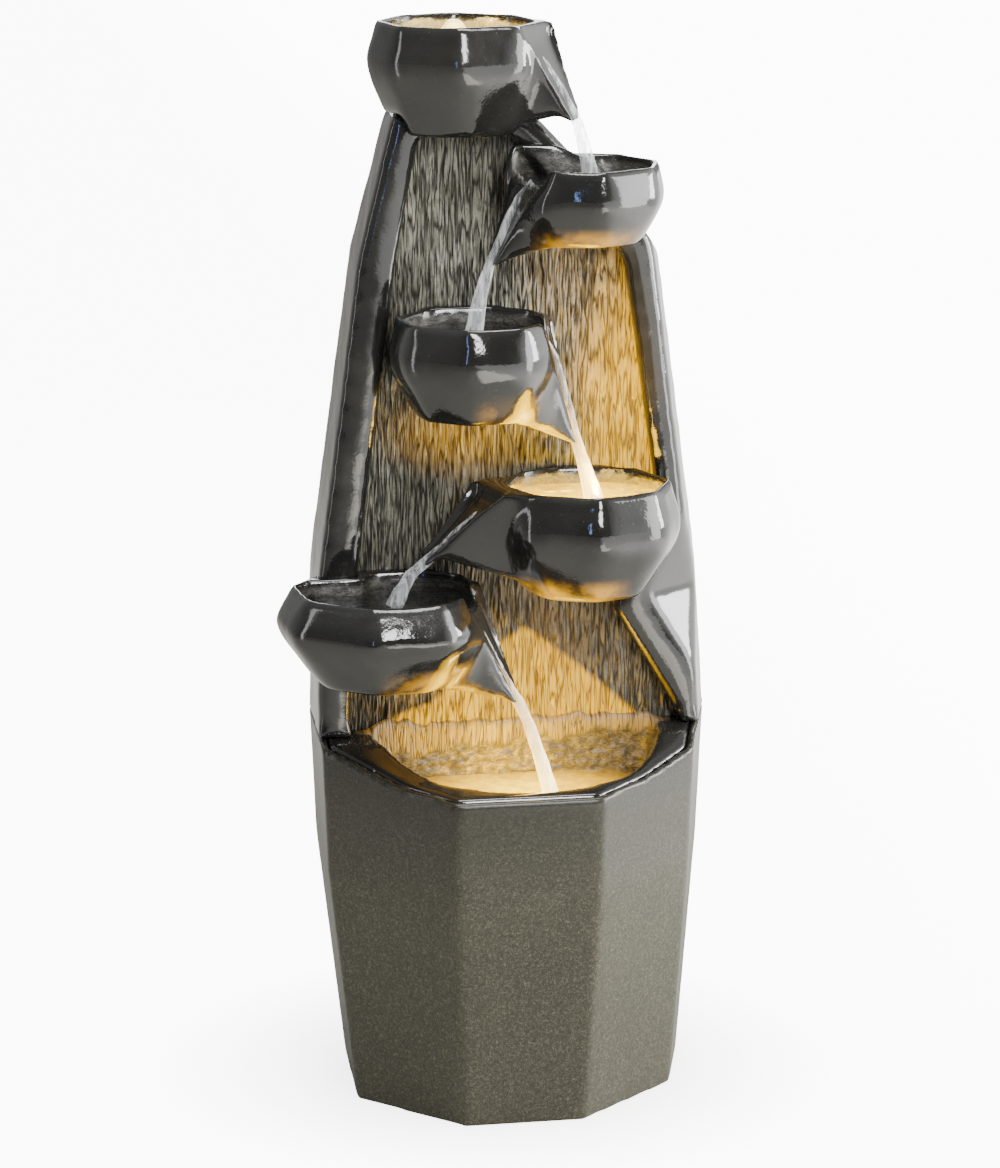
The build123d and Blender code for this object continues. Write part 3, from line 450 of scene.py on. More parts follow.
class Effects:
    """Shader groups that several finishes share, each built once."""

    def __init__(self) -> None:
        """Build the groups."""
        self.speckle = self._speckle()
        self.peel = self._peel()
        self.mottle = self._mottle()
        self.ripple = self._ripple()
        self.glow = self._glow()
        self.creases = self._creases()

    @staticmethod
    def _open(name: str, inputs: dict[str, float],
              outputs: tuple[str, ...]) -> tuple[Bench, bpy.types.Node, bpy.types.Node]:
        """Start a group.

        Args:
            name: the group's name.
            inputs: value inputs with their defaults.
            outputs: value outputs.

        Returns:
            A bench on the group, its input node and its output node.
        """
        tree = bpy.data.node_groups.new(name, "ShaderNodeTree")
        for label, value in inputs.items():
            socket = tree.interface.new_socket(label, in_out="INPUT", socket_type="NodeSocketFloat")
            socket.default_value = value
        for label in outputs:
            tree.interface.new_socket(label, in_out="OUTPUT", socket_type="NodeSocketFloat")
        bench = Bench(tree)
        return bench, bench.add("NodeGroupInput"), bench.add("NodeGroupOutput")

    def _speckle(self) -> bpy.types.NodeTree:
        """Mineral speckles of two sizes, light and dark.

        Returns:
            The group.
        """
        bench, ins, outs = self._open("mineral_speckle", {"Grain": 500.0}, ("Light", "Dark", "Height"))
        place = bench.place()
        grain = ins.outputs["Grain"]
        broad = bench.math("MULTIPLY", grain, 0.37)
        fine = bench.add("TexNoise", {"Vector": place, "Scale": grain, "Detail": 2.0, "Roughness": 0.7})
        coarse = bench.add("TexNoise", {"Vector": place, "Scale": broad, "Detail": 3.0, "Roughness": 0.65})
        grains = bench.math("ADD", bench.math("MULTIPLY", fine.outputs[0], 0.6),
                            bench.math("MULTIPLY", coarse.outputs[0], 0.4))
        bench.feed(outs, "Light", bench.span(grains, 0.52, 0.68, 0.0, 1.0))
        bench.feed(outs, "Dark", bench.span(grains, 0.48, 0.36, 0.0, 1.0))
        bench.feed(outs, "Height", grains)
        return bench.tree

    def _peel(self) -> bpy.types.NodeTree:
        """Orange-peel of sprayed gloss, with sparse bright flakes.

        Returns:
            The group.
        """
        bench, ins, outs = self._open("gloss_peel", {"Grain": 420.0}, ("Height", "Flake"))
        place = bench.place()
        grain = ins.outputs["Grain"]
        broad = bench.math("MULTIPLY", grain, 0.16)
        skin = bench.add("TexNoise", {"Vector": place, "Scale": grain, "Detail": 1.5, "Roughness": 0.45})
        slow = bench.add("TexNoise", {"Vector": place, "Scale": broad, "Detail": 2.0})
        flake = bench.add("TexVoronoi", {"Vector": place, "Scale": bench.math("MULTIPLY", grain, 1.7)})
        rare = bench.add("TexWhiteNoise", {"Vector": flake.outputs["Position"]})
        bright = bench.math("MULTIPLY", bench.span(rare.outputs["Value"], 0.975, 1.0, 0.0, 1.0),
                            bench.span(flake.outputs["Distance"], 0.3, 0.16, 0.0, 1.0))
        fine = bench.math("MULTIPLY", skin.outputs[0], 0.45)
        bench.feed(outs, "Height", bench.math("ADD", fine, slow.outputs[0]))
        bench.feed(outs, "Flake", bright)
        return bench.tree

    def _mottle(self) -> bpy.types.NodeTree:
        """Slow patches of tone.

        Returns:
            The group.
        """
        bench, ins, outs = self._open("slow_mottle", {"Patch": 9.0}, ("Tone",))
        patch = bench.add("TexNoise", {"Vector": bench.place(), "Scale": ins.outputs["Patch"],
                                       "Detail": 4.0, "Roughness": 0.55})
        bench.feed(outs, "Tone", bench.span(patch.outputs[0], 0.3, 0.7, 0.0, 1.0))
        return bench.tree

    def _ripple(self) -> bpy.types.NodeTree:
        """Small waves and streaks on moving water.

        Returns:
            The group.
        """
        bench, ins, outs = self._open("water_ripple", {"Wave": 90.0, "Stretch": 1.0}, ("Height", "Streak"))
        place = bench.place()
        pull = bench.add("CombineXYZ", {0: 1.0, 1: 1.0, 2: ins.outputs["Stretch"]})
        drawn = bench.add("VectorMath", {0: place, 1: pull.outputs[0]}, operation="MULTIPLY")
        wave = bench.add("TexNoise", {"Vector": drawn.outputs[0], "Scale": ins.outputs["Wave"],
                                      "Detail": 3.0, "Distortion": 0.6})
        bench.feed(outs, "Height", wave.outputs[0])
        bench.feed(outs, "Streak", bench.span(wave.outputs[0], 0.42, 0.66, 0.0, 1.0))
        return bench.tree

    def _glow(self) -> bpy.types.NodeTree:
        """Patch of painted lamplight on an upright face: an oval at Roundness 2, a diamond at 1.

        Returns:
            The group.
        """
        sizes = {"Across": 0.0, "Up": 0.0, "Half Width": 0.1, "Half Height": 0.1}
        bench, ins, outs = self._open("lamp_patch", {**sizes, "Edge": 0.2, "Roundness": 2.0}, ("Light",))
        spot = bench.add("SeparateXYZ", {0: bench.place()})
        steps = []
        for axis, middle, half in (("X", "Across", "Half Width"), ("Z", "Up", "Half Height")):
            offset = bench.math("SUBTRACT", spot.outputs[axis], ins.outputs[middle])
            step = bench.math("DIVIDE", offset, ins.outputs[half])
            steps.append(bench.math("POWER", bench.math("ABSOLUTE", step), ins.outputs["Roundness"]))
        root = bench.math("DIVIDE", 1.0, ins.outputs["Roundness"])
        away = bench.math("POWER", bench.math("ADD", *steps), root)
        inner = bench.math("SUBTRACT", 1.0, ins.outputs["Edge"])
        node = bench.add("MapRange", {0: away, 1: 1.0, 2: inner, 3: 0.0, 4: 1.0},
                         interpolation_type="SMOOTHSTEP")
        bench.feed(outs, "Light", node.outputs[0])
        return bench.tree

    def _creases(self) -> bpy.types.NodeTree:
        """Thin wavy upright grooves of bark, between ridges of uneven height.

        Returns:
            The group.
        """
        bench, ins, outs = self._open("bark_creases", {"Grain": 290.0, "Draw": 0.085}, ("Ridge", "Tone"))
        spot = bench.add("SeparateXYZ", {0: bench.place()})
        drawn = bench.math("MULTIPLY", spot.outputs["Z"], ins.outputs["Draw"])
        flat = bench.add("CombineXYZ", {0: spot.outputs["X"], 1: 0.0, 2: drawn}).outputs[0]
        grain = ins.outputs["Grain"]
        lines = bench.add("TexNoise", {"Vector": flat, "Scale": grain, "Detail": 1.0, "Roughness": 0.4,
                                       "Distortion": 0.35})
        crease = bench.math("ABSOLUTE", bench.math("SUBTRACT", lines.outputs[0], 0.5))
        broad = bench.math("MULTIPLY", grain, 0.45)
        slow = bench.add("TexNoise", {"Vector": flat, "Scale": broad, "Detail": 2.0})
        bench.feed(outs, "Ridge", bench.span(crease, 0.0, 0.085, 0.0, 1.0))
        bench.feed(outs, "Tone", bench.span(slow.outputs[0], 0.3, 0.7, 0.0, 1.0))
        return bench.tree


@dataclass(frozen=True)
class Finish:
    """A material with a Principled shader, which each kind of finish wires in its own way."""

    name: str

    def wire(self, bench: Bench, shader: bpy.types.Node, effects: Effects) -> None:
        """Wire the shader, which every kind of finish has to do."""
        raise NotImplementedError

    def build(self, effects: Effects) -> bpy.types.Material:
        """Start the material and wire it.

        Args:
            effects: the shared groups.

        Returns:
            The material.
        """
        material = bpy.data.materials.new(self.name)
        material.use_nodes = True
        self.wire(Bench(material.node_tree), material.node_tree.nodes["Principled BSDF"], effects)
        return material


@dataclass(frozen=True)
class GlossResin(Finish):
    """Black gloss resin, rough and stony where the rough mask says so, with painted lamplight on the rough
    parts near the sunken lamps and painted warm reflections on the bowls' undersides.
    """

    tone: Colour = (0.010, 0.010, 0.009)
    haze: Colour = (0.022, 0.022, 0.019)
    flake: Colour = (0.4, 0.4, 0.38)
    stone: Colour = (0.075, 0.072, 0.056)
    stone_pale: Colour = (0.24, 0.232, 0.195)
    stone_dark: Colour = (0.02, 0.019, 0.015)
    sheen: tuple[float, float] = (0.05, 0.15)
    # The lamp places, reaches, power and warm colours below give painted lamplight: the rough rock and bark
    # glow round each sunken lamp.
    lamps: tuple[tuple[Point, float], ...] = (
        ((-0.045, 0.006, 0.985), 0.10), ((0.068, -0.108, 0.574), 0.12), ((0.002, -0.092, 0.297), 0.18))
    lamp_power: float = 5.0
    warm: Colour = (0.72, 0.47, 0.16)
    painted_bark_light: Colour = (1.05, 0.5, 0.0)
    # Colour of the painted reflection of the lamps on the bowls' undersides.
    glint: Colour = (0.24, 0.11, 0.0)

    def wire(self, bench: Bench, shader: bpy.types.Node, effects: Effects) -> None:
        """Wire the shader.

        Args:
            bench: bench on the material's tree.
            shader: its Principled node.
            effects: the shared groups.
        """
        peel = bench.group(effects.peel, {"Grain": 420.0})
        mottle = bench.group(effects.mottle, {"Patch": 14.0})
        speckle = bench.group(effects.speckle, {"Grain": 330.0})
        creases = bench.group(effects.creases, {})
        rough, bark = bench.mask(Mask.ROUGH), bench.mask(Mask.BARK)
        coat = bench.blend(mottle.outputs["Tone"], self.tone, self.haze)
        coat = bench.blend(bench.math("MULTIPLY", peel.outputs["Flake"], 0.3), coat, self.flake)
        grit = bench.blend(bark, self.rock(bench, effects, speckle), self.wood(bench, creases))
        # Painted lamplight: the rough parts glow warm near the lamps, and their base colour darkens there.
        light = bench.math("MULTIPLY", self.painted_lamplight(bench), rough, clamp=True)
        paint = bench.blend(rough, coat, grit)
        paint = bench.blend(bench.math("MULTIPLY", light, 0.8), paint, self.stone_dark)
        bench.feed(shader, "Base Color", paint)
        lit = bench.blend(1.0, grit, bench.blend(bark, self.warm, self.painted_bark_light), "MULTIPLY")
        lit = bench.blend(light, BLACK, lit)
        # Add the painted reflection of the lamps on the bowls' undersides.
        lit = bench.blend(1.0, lit, self.painted_underside_glints(bench, effects), "ADD")
        bench.feed(shader, "Emission Color", lit)
        bench.feed(shader, "Emission Strength", self.lamp_power)
        polish = bench.span(mottle.outputs["Tone"], 0.0, 1.0, *self.sheen)
        dull = bench.math("MULTIPLY", rough, 0.36)
        bench.feed(shader, "Roughness", bench.math("ADD", polish, dull))
        lumps = bench.math("MULTIPLY", bench.math("MULTIPLY", speckle.outputs["Height"], rough), 4.0)
        lines = bench.math("MULTIPLY", bench.math("MULTIPLY", creases.outputs["Ridge"], bark), 6.0)
        height = bench.math("ADD", bench.math("ADD", peel.outputs["Height"], lumps), lines)
        bench.emboss(shader, 0.42, 0.0004, height)
        bench.feed(shader, "Specular IOR Level", 0.75)

    def rock(self, bench: Bench, effects: Effects, speckle: bpy.types.Node) -> Socket:
        """Paint of the rock, with grains, pale and dark strata that are partly its own tone and partly
        painted light and shade on its faces, and dark cracks painted as shade in its crevices.

        Args:
            bench: bench on the material's tree.
            effects: the shared groups.
            speckle: the speckle group that gives the grains.

        Returns:
            The rock's colour.
        """
        strata = bench.group(effects.creases, {"Grain": 150.0, "Draw": 2.0})
        # Pale and dark strata: partly the rock's own tone, partly painted light and shade on its faces.
        stone = bench.blend(strata.outputs["Tone"], self.stone, self.stone_pale)
        grains = bench.span(speckle.outputs["Light"], 0.0, 1.0, 0.5, 1.0)
        grit = bench.blend(grains, self.stone_dark, stone)
        # Dark cracks: painted shade in the rock's crevices.
        crack = bench.span(strata.outputs["Ridge"], 0.0, 0.9, 0.95, 0.0)
        return bench.blend(crack, grit, self.stone_dark)

    def wood(self, bench: Bench, creases: bpy.types.Node) -> Socket:
        """Paint of the bark where it runs on over the rock.

        Args:
            bench: bench on the material's tree.
            creases: the group that gives the bark's grooves.

        Returns:
            The bark's colour.
        """
        tone = bench.span(creases.outputs["Tone"], 0.0, 1.0, 0.5, 1.0)
        ridge = bench.blend(tone, self.stone, self.stone_pale)
        return bench.blend(creases.outputs["Ridge"], self.stone_dark, ridge)

    def painted_lamplight(self, bench: Bench) -> Socket:
        """Painted light of the sunken lamps at each place.

        Args:
            bench: bench on the material's tree.

        Returns:
            The lamps' shares, added up.
        """
        light: object = 0.0
        for lamp, reach in self.lamps:
            near = bench.span(bench.distance(lamp), reach, 0.3 * reach, 0.0, 1.0)
            light = bench.math("ADD", near, light)
        return light

    def painted_underside_glints(self, bench: Bench, effects: Effects) -> Socket:
        """Painted reflection: warm patches where the undersides would mirror the lamps below them.

        Args:
            bench: bench on the material's tree.
            effects: the shared groups.

        Returns:
            The colour that they add.
        """
        drift = bench.group(effects.mottle, {"Patch": 30.0})
        patch = bench.span(drift.outputs["Tone"], 0.2, 0.8, 0.08, 1.0)
        return bench.blend(bench.math("MULTIPLY", bench.mask(Mask.WARM), patch), BLACK, self.glint)


@dataclass(frozen=True)
class SatinGranite(Finish):
    """Satin stone-effect resin with mineral speckles, darker and shinier towards the rim."""

    tone: Colour = (0.053, 0.0505, 0.031)
    light: Colour = (0.22, 0.205, 0.145)
    dark: Colour = (0.013, 0.012, 0.009)
    shade: float = 0.62
    rim_band: Band = (0.215, 0.34)

    def wire(self, bench: Bench, shader: bpy.types.Node, effects: Effects) -> None:
        """Wire the shader.

        Args:
            bench: bench on the material's tree.
            shader: its Principled node.
            effects: the shared groups.
        """
        speckle = bench.group(effects.speckle, {"Grain": 880.0})
        mottle = bench.group(effects.mottle, {"Patch": 11.0})
        climb = bench.span(bench.along("Z"), *self.rim_band, 0.0, 1.0)
        ground = bench.blend(bench.math("MULTIPLY", mottle.outputs["Tone"], 0.55), self.tone,
                             tuple(self.shade * c for c in self.tone))
        ground = bench.blend(bench.math("MULTIPLY", speckle.outputs["Dark"], 0.75), ground, self.dark)
        ground = bench.blend(bench.math("MULTIPLY", speckle.outputs["Light"], 0.7), ground, self.light)
        ground = bench.blend(bench.math("MULTIPLY", climb, 0.85), ground, self.dark)
        bench.feed(shader, "Base Color", ground)
        bench.feed(shader, "Roughness", bench.span(climb, 0.0, 1.0, 0.42, 0.24))
        bench.emboss(shader, 0.35, 0.0005, speckle.outputs["Height"])
        bench.feed(shader, "Specular IOR Level", 0.45)


@dataclass(frozen=True)
class LampOval:
    """One oval of painted lamplight on the bark."""

    centre: tuple[float, float]
    half: tuple[float, float]
    edge: float
    power: float
    roundness: float = 2.0


@dataclass(frozen=True)
class DryBrushedBark(Finish):
    """Bark relief: dark grooves, dry-brushed ridges, painted shade towards the foot and painted warm ovals of
    lamplight.
    """

    groove: Colour = (0.016, 0.015, 0.011)
    shade: Colour = (0.14, 0.136, 0.10)
    ridge: Colour = (0.26, 0.252, 0.19)
    dust: Colour = (0.38, 0.37, 0.30)
    # Emission colours of the painted lamplight on grooves, ridges and brushed tops.
    lit_groove: Colour = (0.30, 0.125, 0.0)
    lit_ridge: Colour = (1.5, 0.74, 0.0)
    lit_dust: Colour = (2.0, 1.08, 0.04)
    # Band and share of the painted shade towards the foot of the panel.
    painted_shade_band: Band = (0.46, 0.68)
    painted_shade: float = 0.38
    ovals: tuple[LampOval, ...] = (
        LampOval((-0.040, 0.323), (0.092, 0.051), 0.10, 1.0),
        LampOval((0.015, 0.323), (0.136, 0.118), 0.08, 1.0, 1.1),
        LampOval((0.112, 0.625), (0.062, 0.190), 0.7, 0.9),
        LampOval((-0.040, 0.622), (0.095, 0.050), 0.9, 0.3),
    )

    def wire(self, bench: Bench, shader: bpy.types.Node, effects: Effects) -> None:
        """Wire the shader.

        Args:
            bench: bench on the material's tree.
            shader: its Principled node.
            effects: the shared groups.
        """
        ridge = bench.mask(Mask.RIDGE)
        mottle = bench.group(effects.mottle, {"Patch": 22.0})
        speckle = bench.group(effects.speckle, {"Grain": 420.0})
        creases = bench.group(effects.creases, {})
        wood = bench.math("MULTIPLY", bench.span(ridge, 0.0, 0.45, 0.35, 1.0), creases.outputs["Ridge"])
        paint = bench.blend(wood, self.groove, bench.blend(creases.outputs["Tone"], self.shade, self.ridge))
        brushed = bench.math("MULTIPLY", bench.span(wood, 0.75, 1.0, 0.0, 0.8), mottle.outputs["Tone"])
        paint = bench.blend(brushed, paint, self.dust)
        paint = bench.blend(bench.math("MULTIPLY", speckle.outputs["Dark"], 0.4), paint, self.groove)
        # Painted shade: the paint darkens towards the bottom of the panel.
        shaded_foot = bench.span(bench.along("Z"), *self.painted_shade_band, self.painted_shade, 0.0)
        paint = bench.blend(shaded_foot, paint, self.groove)
        # Painted lamplight: the ovals glow warm, and the base colour darkens under them.
        ahead = bench.span(ridge, -1.2, -0.8, 0.0, 1.0)
        light = bench.math("MULTIPLY", self.painted_lamplight(bench, effects), ahead)
        lit = bench.blend(brushed, bench.blend(wood, self.lit_groove, self.lit_ridge), self.lit_dust)
        bench.feed(shader, "Emission Color", bench.blend(light, BLACK, lit))
        bench.feed(shader, "Emission Strength", 1.0)
        paint = bench.blend(bench.math("MULTIPLY", light, 0.9), paint, self.groove)
        bench.feed(shader, "Base Color", paint)
        bench.feed(shader, "Roughness", bench.span(speckle.outputs["Height"], 0.3, 0.7, 0.28, 0.5))
        grain = bench.math("MULTIPLY", speckle.outputs["Height"], 0.4)
        relief = bench.math("ADD", creases.outputs["Ridge"], grain)
        bench.emboss(shader, 0.8, 0.0012, relief)
        bench.feed(shader, "Specular IOR Level", 0.35)

    def painted_lamplight(self, bench: Bench, effects: Effects) -> Socket:
        """Painted lamplight of all the ovals, the brightest at each place.

        Args:
            bench: bench on the material's tree.
            effects: the shared groups.

        Returns:
            The light's share.
        """
        light: object = 0.0
        for oval in self.ovals:
            spot = bench.group(effects.glow, {
                "Across": oval.centre[0], "Up": oval.centre[1], "Half Width": oval.half[0],
                "Half Height": oval.half[1], "Edge": oval.edge, "Roundness": oval.roundness})
            light = bench.math("MAXIMUM", bench.math("MULTIPLY", spot.outputs["Light"], oval.power), light)
        return light


@dataclass(frozen=True)
class Water(Finish):
    """Clear water, with a painted glow round the light below it where it has one."""

    tint: Colour = (0.02, 0.023, 0.022)
    # The glow place, radius, colours, power, body and mirrored boost set a painted glow of the light below,
    # stronger in reflections.
    glow_at: Point | None = None
    glow_radius: float = 0.05
    glow: Colour = (1.0, 0.5, 0.0)
    core: Colour = (1.0, 0.6, 0.01)
    glow_power: float = 2.4
    glow_body: float = 0.7
    mirrored: float = 8.0
    body: float = 0.12
    edge: float = 0.35
    whiteness: float = 0.0
    wave: float = 90.0
    stretch: float = 1.0

    def wire(self, bench: Bench, shader: bpy.types.Node, effects: Effects) -> None:
        """Wire the shader.

        Args:
            bench: bench on the material's tree.
            shader: its Principled node.
            effects: the shared groups.
        """
        ripple = bench.group(effects.ripple, {"Wave": self.wave, "Stretch": self.stretch})
        facing = bench.add("LayerWeight", {"Blend": 0.35}).outputs["Facing"]
        bench.feed(shader, "Base Color", self.tint)
        bench.feed(shader, "Roughness", 0.05)
        bench.feed(shader, "IOR", 1.33)
        body = bench.math("ADD", bench.math("MULTIPLY", facing, self.edge), self.body, clamp=True)
        if self.whiteness > 0.0:
            streaks = bench.math("MULTIPLY", ripple.outputs["Streak"], self.whiteness)
            body = bench.math("ADD", body, streaks, clamp=True)
        # Painted glow: the water glows warm round the light below it, more in reflections, and turns more
        # opaque there.
        if self.glow_at is not None:
            away = bench.distance(self.glow_at)
            near = bench.span(away, self.glow_radius, 0.2 * self.glow_radius, 0.0, 1.0)
            hue = bench.blend(bench.math("POWER", near, 2.5), self.glow, self.core)
            dapple = bench.math("MULTIPLY", near, bench.span(ripple.outputs["Height"], 0.3, 0.7, 0.55, 1.15))
            seen = bench.blend(dapple, BLACK, hue)
            strong = bench.blend(1.0, seen, (self.mirrored,) * 3, "MULTIPLY")
            mirrored = bench.add("LightPath").outputs["Is Glossy Ray"]
            bench.feed(shader, "Emission Color", bench.blend(mirrored, seen, strong))
            bench.feed(shader, "Emission Strength", self.glow_power)
            body = bench.math("ADD", body, bench.math("MULTIPLY", near, self.glow_body), clamp=True)
        bench.feed(shader, "Alpha", body)
        bench.emboss(shader, 0.6, 0.0015, ripple.outputs["Height"])


@dataclass(frozen=True)
class Moulded(Finish):
    """Moulded, turned or rubbed fitting with a fine grain and uneven shine."""

    tone: Colour = (0.03, 0.03, 0.032)
    metallic: float = 0.0
    shine: tuple[float, float] = (0.3, 0.45)
    grain: float = 900.0
    rub: Colour | None = None

    def wire(self, bench: Bench, shader: bpy.types.Node, effects: Effects) -> None:
        """Wire the shader.

        Args:
            bench: bench on the material's tree.
            shader: its Principled node.
            effects: the shared groups.
        """
        speckle = bench.group(effects.speckle, {"Grain": self.grain})
        mottle = bench.group(effects.mottle, {"Patch": 45.0})
        rub = self.rub or tuple(min(1.0, 1.5 * c + 0.01) for c in self.tone)
        paint = bench.blend(bench.math("MULTIPLY", mottle.outputs["Tone"], 0.5), self.tone, rub)
        bench.feed(shader, "Base Color", paint)
        bench.feed(shader, "Roughness", bench.span(speckle.outputs["Height"], 0.3, 0.7, *self.shine))
        bench.emboss(shader, 0.3, 0.0002, speckle.outputs["Height"])
        bench.feed(shader, "Metallic", self.metallic)


@dataclass(frozen=True)
class FrostedLens(Finish):
    """Frosted lens with a warm light behind it."""

    glass: Colour = (0.9, 0.82, 0.62)
    warm: Colour = (1.0, 0.72, 0.36)
    bright: Colour = (1.0, 0.9, 0.68)
    power: float = 9.0

    def wire(self, bench: Bench, shader: bpy.types.Node, effects: Effects) -> None:
        """Wire the shader.

        Args:
            bench: bench on the material's tree.
            shader: its Principled node.
            effects: the shared groups.
        """
        mottle = bench.group(effects.mottle, {"Patch": 160.0})
        frost = bench.blend(bench.math("MULTIPLY", mottle.outputs["Tone"], 0.4), self.warm, self.bright)
        bench.feed(shader, "Emission Color", frost)
        bench.feed(shader, "Base Color", self.glass)
        bench.feed(shader, "Roughness", 0.35)
        bench.feed(shader, "Emission Strength", self.power)


@dataclass
class Casting:
    """One cast piece: a softened copy of a CAD node."""

    node: str
    name: str
    slot: str
    voxel: float
    rounds: int
    pillow: int = 0
    swell: float = 0.0
    crease: float = 80.0
    swell_size: Point = (0.034, 0.034, 0.034)

    def copy(self) -> bpy.types.Object:
        """Copy of the CAD node to work on."""
        return copy_node(self.node, self.name)

    def softness(self, place: Vector, normal: Vector) -> float:
        """Share of the smoothing that a point gets."""
        return 1.0

    def fullness(self, place: Vector, normal: Vector) -> float:
        """Share of the second, broader smoothing that a point gets."""
        return self.softness(place, normal)

    def turn(self, piece: bpy.types.Object) -> None:
        """Round the corners of the plan, where a casting wants that."""

    def soften(self, piece: bpy.types.Object) -> None:
        """Remesh the copy finely, round its edges and pillow its faces, as a mould does.

        Args:
            piece: the object to soften.
        """
        apply(piece, "REMESH", mode="VOXEL", voxel_size=self.voxel, adaptivity=0.0)
        self.turn(piece)
        soft = smooth(piece, "soft", self.softness, self.rounds)
        if self.pillow > 0:
            smooth(piece, "full", self.fullness, self.pillow)
        if self.swell > 0.0:
            roughen(piece, Noise.CLOUDS, self.swell_size, self.swell, depth=1, group=soft)

    def texture(self, piece: bpy.types.Object) -> None:
        """Carve what only this casting has."""

    def build(self, finish: bpy.types.Material) -> bpy.types.Object:
        """Make the casting and tie it to the frame.

        Args:
            finish: its material.

        Returns:
            The finished piece.
        """
        piece = self.copy()
        self.soften(piece)
        self.texture(piece)
        return publish(piece, finish, stands_for=(self.node,), crease=self.crease)


@dataclass
class BaseCasting(Casting):
    """Faceted base tub."""

    node: str = "base_tub"
    name: str = "base_casting"
    slot: str = "granite_resin"
    voxel: float = 0.0034
    rounds: int = 9
    seam: float = 0.345
    seam_band: Band = (-0.012, -0.003)
    rear_band: Band = (-0.075, -0.06)

    def softness(self, place: Vector, normal: Vector) -> float:
        """Keep the top seam behind the basin crisp."""
        return 1.0 - ease(place.y, *self.rear_band) * ease_from(place.z, self.seam, self.seam_band)


@dataclass
class BasinCasting(Casting):
    """Deck with the basin dish, whose sides are rough rock.

    A band or tilt runs from where a mask is none to where it is full; a tilt is how a point faces.
    """

    node: str = "basin_deck"
    name: str = "basin_casting"
    slot: str = "basin_resin"
    voxel: float = 0.0024
    rounds: int = 22
    lip: float = 0.338
    lip_band: Band = (0.004, -0.012)
    centre: tuple[float, float] = (0.004, -0.04)
    focus: float = 0.03
    climb: float = 0.007
    teeth: Point = (0.018, 0.018, 0.018)
    strata: tuple[Point, float] = ((0.013, 0.013, 0.0055), 0.008)
    pits: tuple[Point, float] = ((0.004, 0.004, 0.003), 0.003)
    bark_foot: float = 0.328
    bark_slope: float = 0.08
    bark_edge: Band = (-0.002, 0.002)
    bark_smooth: float = 0.75
    bark_waves: tuple[Point, ...] = ((0.003, 95.0, 0.0), (0.002, 237.0, 1.0))
    bark_band: Band = (-0.085, -0.065)
    wall_tilt: Band = (0.1, 0.5)
    ledge_band: Band = (-0.038, -0.032)
    ledge_ends: Band = (0.15, 0.138)
    ledge_back: Band = (-0.010, -0.014)
    rear_band: Band = (-0.044, -0.034)
    front_band: Band = (-0.11, -0.06)
    front_share: float = 0.25
    crest_rise: Band = (-0.018, 0.004)
    crest_band: Band = (-0.036, -0.028)
    crest_ends: Band = (0.14, 0.125)
    crest_back: Band = (-0.012, -0.016)

    def texture(self, piece: bpy.types.Object) -> None:
        """Break the basin's sides into rock, with a ragged top edge against the bark.

        Args:
            piece: the softened casting.
        """
        crest = weigh(piece, "crest", self.crest)
        push(piece, crest, self.climb, "Z")
        push(piece, crest, -0.4 * self.climb, "Y")
        roughen(piece, Noise.CLOUDS, self.teeth, 2.0 * self.climb, depth=3, group=crest, direction="Z")
        rock = weigh(piece, "rock", self.hardness)
        mark(piece, Mask.ROUGH, self.rockiness)
        mark(piece, Mask.BARK, self.barked)
        roughen(piece, Noise.CREASES, *self.strata, depth=3, group=rock)
        roughen(piece, Noise.CLOUDS, *self.pits, depth=2, group=rock)

    def crest(self, place: Vector, normal: Vector) -> float:
        """Top edge of the rock at the foot of the bark.

        Args:
            place: the point's place.
            normal: its normal, not used.

        Returns:
            The share, from 0 to 1.
        """
        across = ease(abs(place.x - self.centre[0]), *self.crest_ends)
        along = ease(place.y, *self.crest_band) * ease(place.y, *self.crest_back)
        return across * along * ease_from(place.z, self.lip, self.crest_rise)

    def rockiness(self, place: Vector, normal: Vector) -> float:
        """How rough the basin is at a place: most at the back, none on the rim.

        Args:
            place: the point's place.
            normal: its normal.

        Returns:
            The share, from 0 to 1.
        """
        inwards = Vector((self.centre[0] - place.x, self.centre[1] - self.focus - place.y, 0.0)).normalized()
        ledge = ease(place.y, *self.ledge_band) * ease(abs(place.x - self.centre[0]), *self.ledge_ends)
        ledge *= ease(place.y, *self.ledge_back)
        wall = max(ease(normal.dot(inwards), *self.wall_tilt), ledge)
        depth = max(ease_from(place.z, self.lip, self.lip_band), ease(place.y, *self.rear_band))
        front = ease(place.y, *self.front_band)
        return wall * depth * (self.front_share + (1.0 - self.front_share) * front)

    def barked(self, place: Vector, normal: Vector) -> float:
        """How much of the bark runs on down the rear wall at a place, to a ragged sloping foot.

        Args:
            place: the point's place.
            normal: its normal, not used.

        Returns:
            The share, from 0 to 1.
        """
        across = place.x - self.centre[0]
        ragged = sum(height * math.sin(pitch * across + shift) for height, pitch, shift in self.bark_waves)
        foot = self.bark_foot + self.bark_slope * across + ragged
        return ease_from(place.z, foot, self.bark_edge) * ease(place.y, *self.bark_band)

    def hardness(self, place: Vector, normal: Vector) -> float:
        """Share of the rock's relief at a place: full on the rock, little on the bark above it."""
        return self.rockiness(place, normal) * (1.0 - self.bark_smooth * self.barked(place, normal))


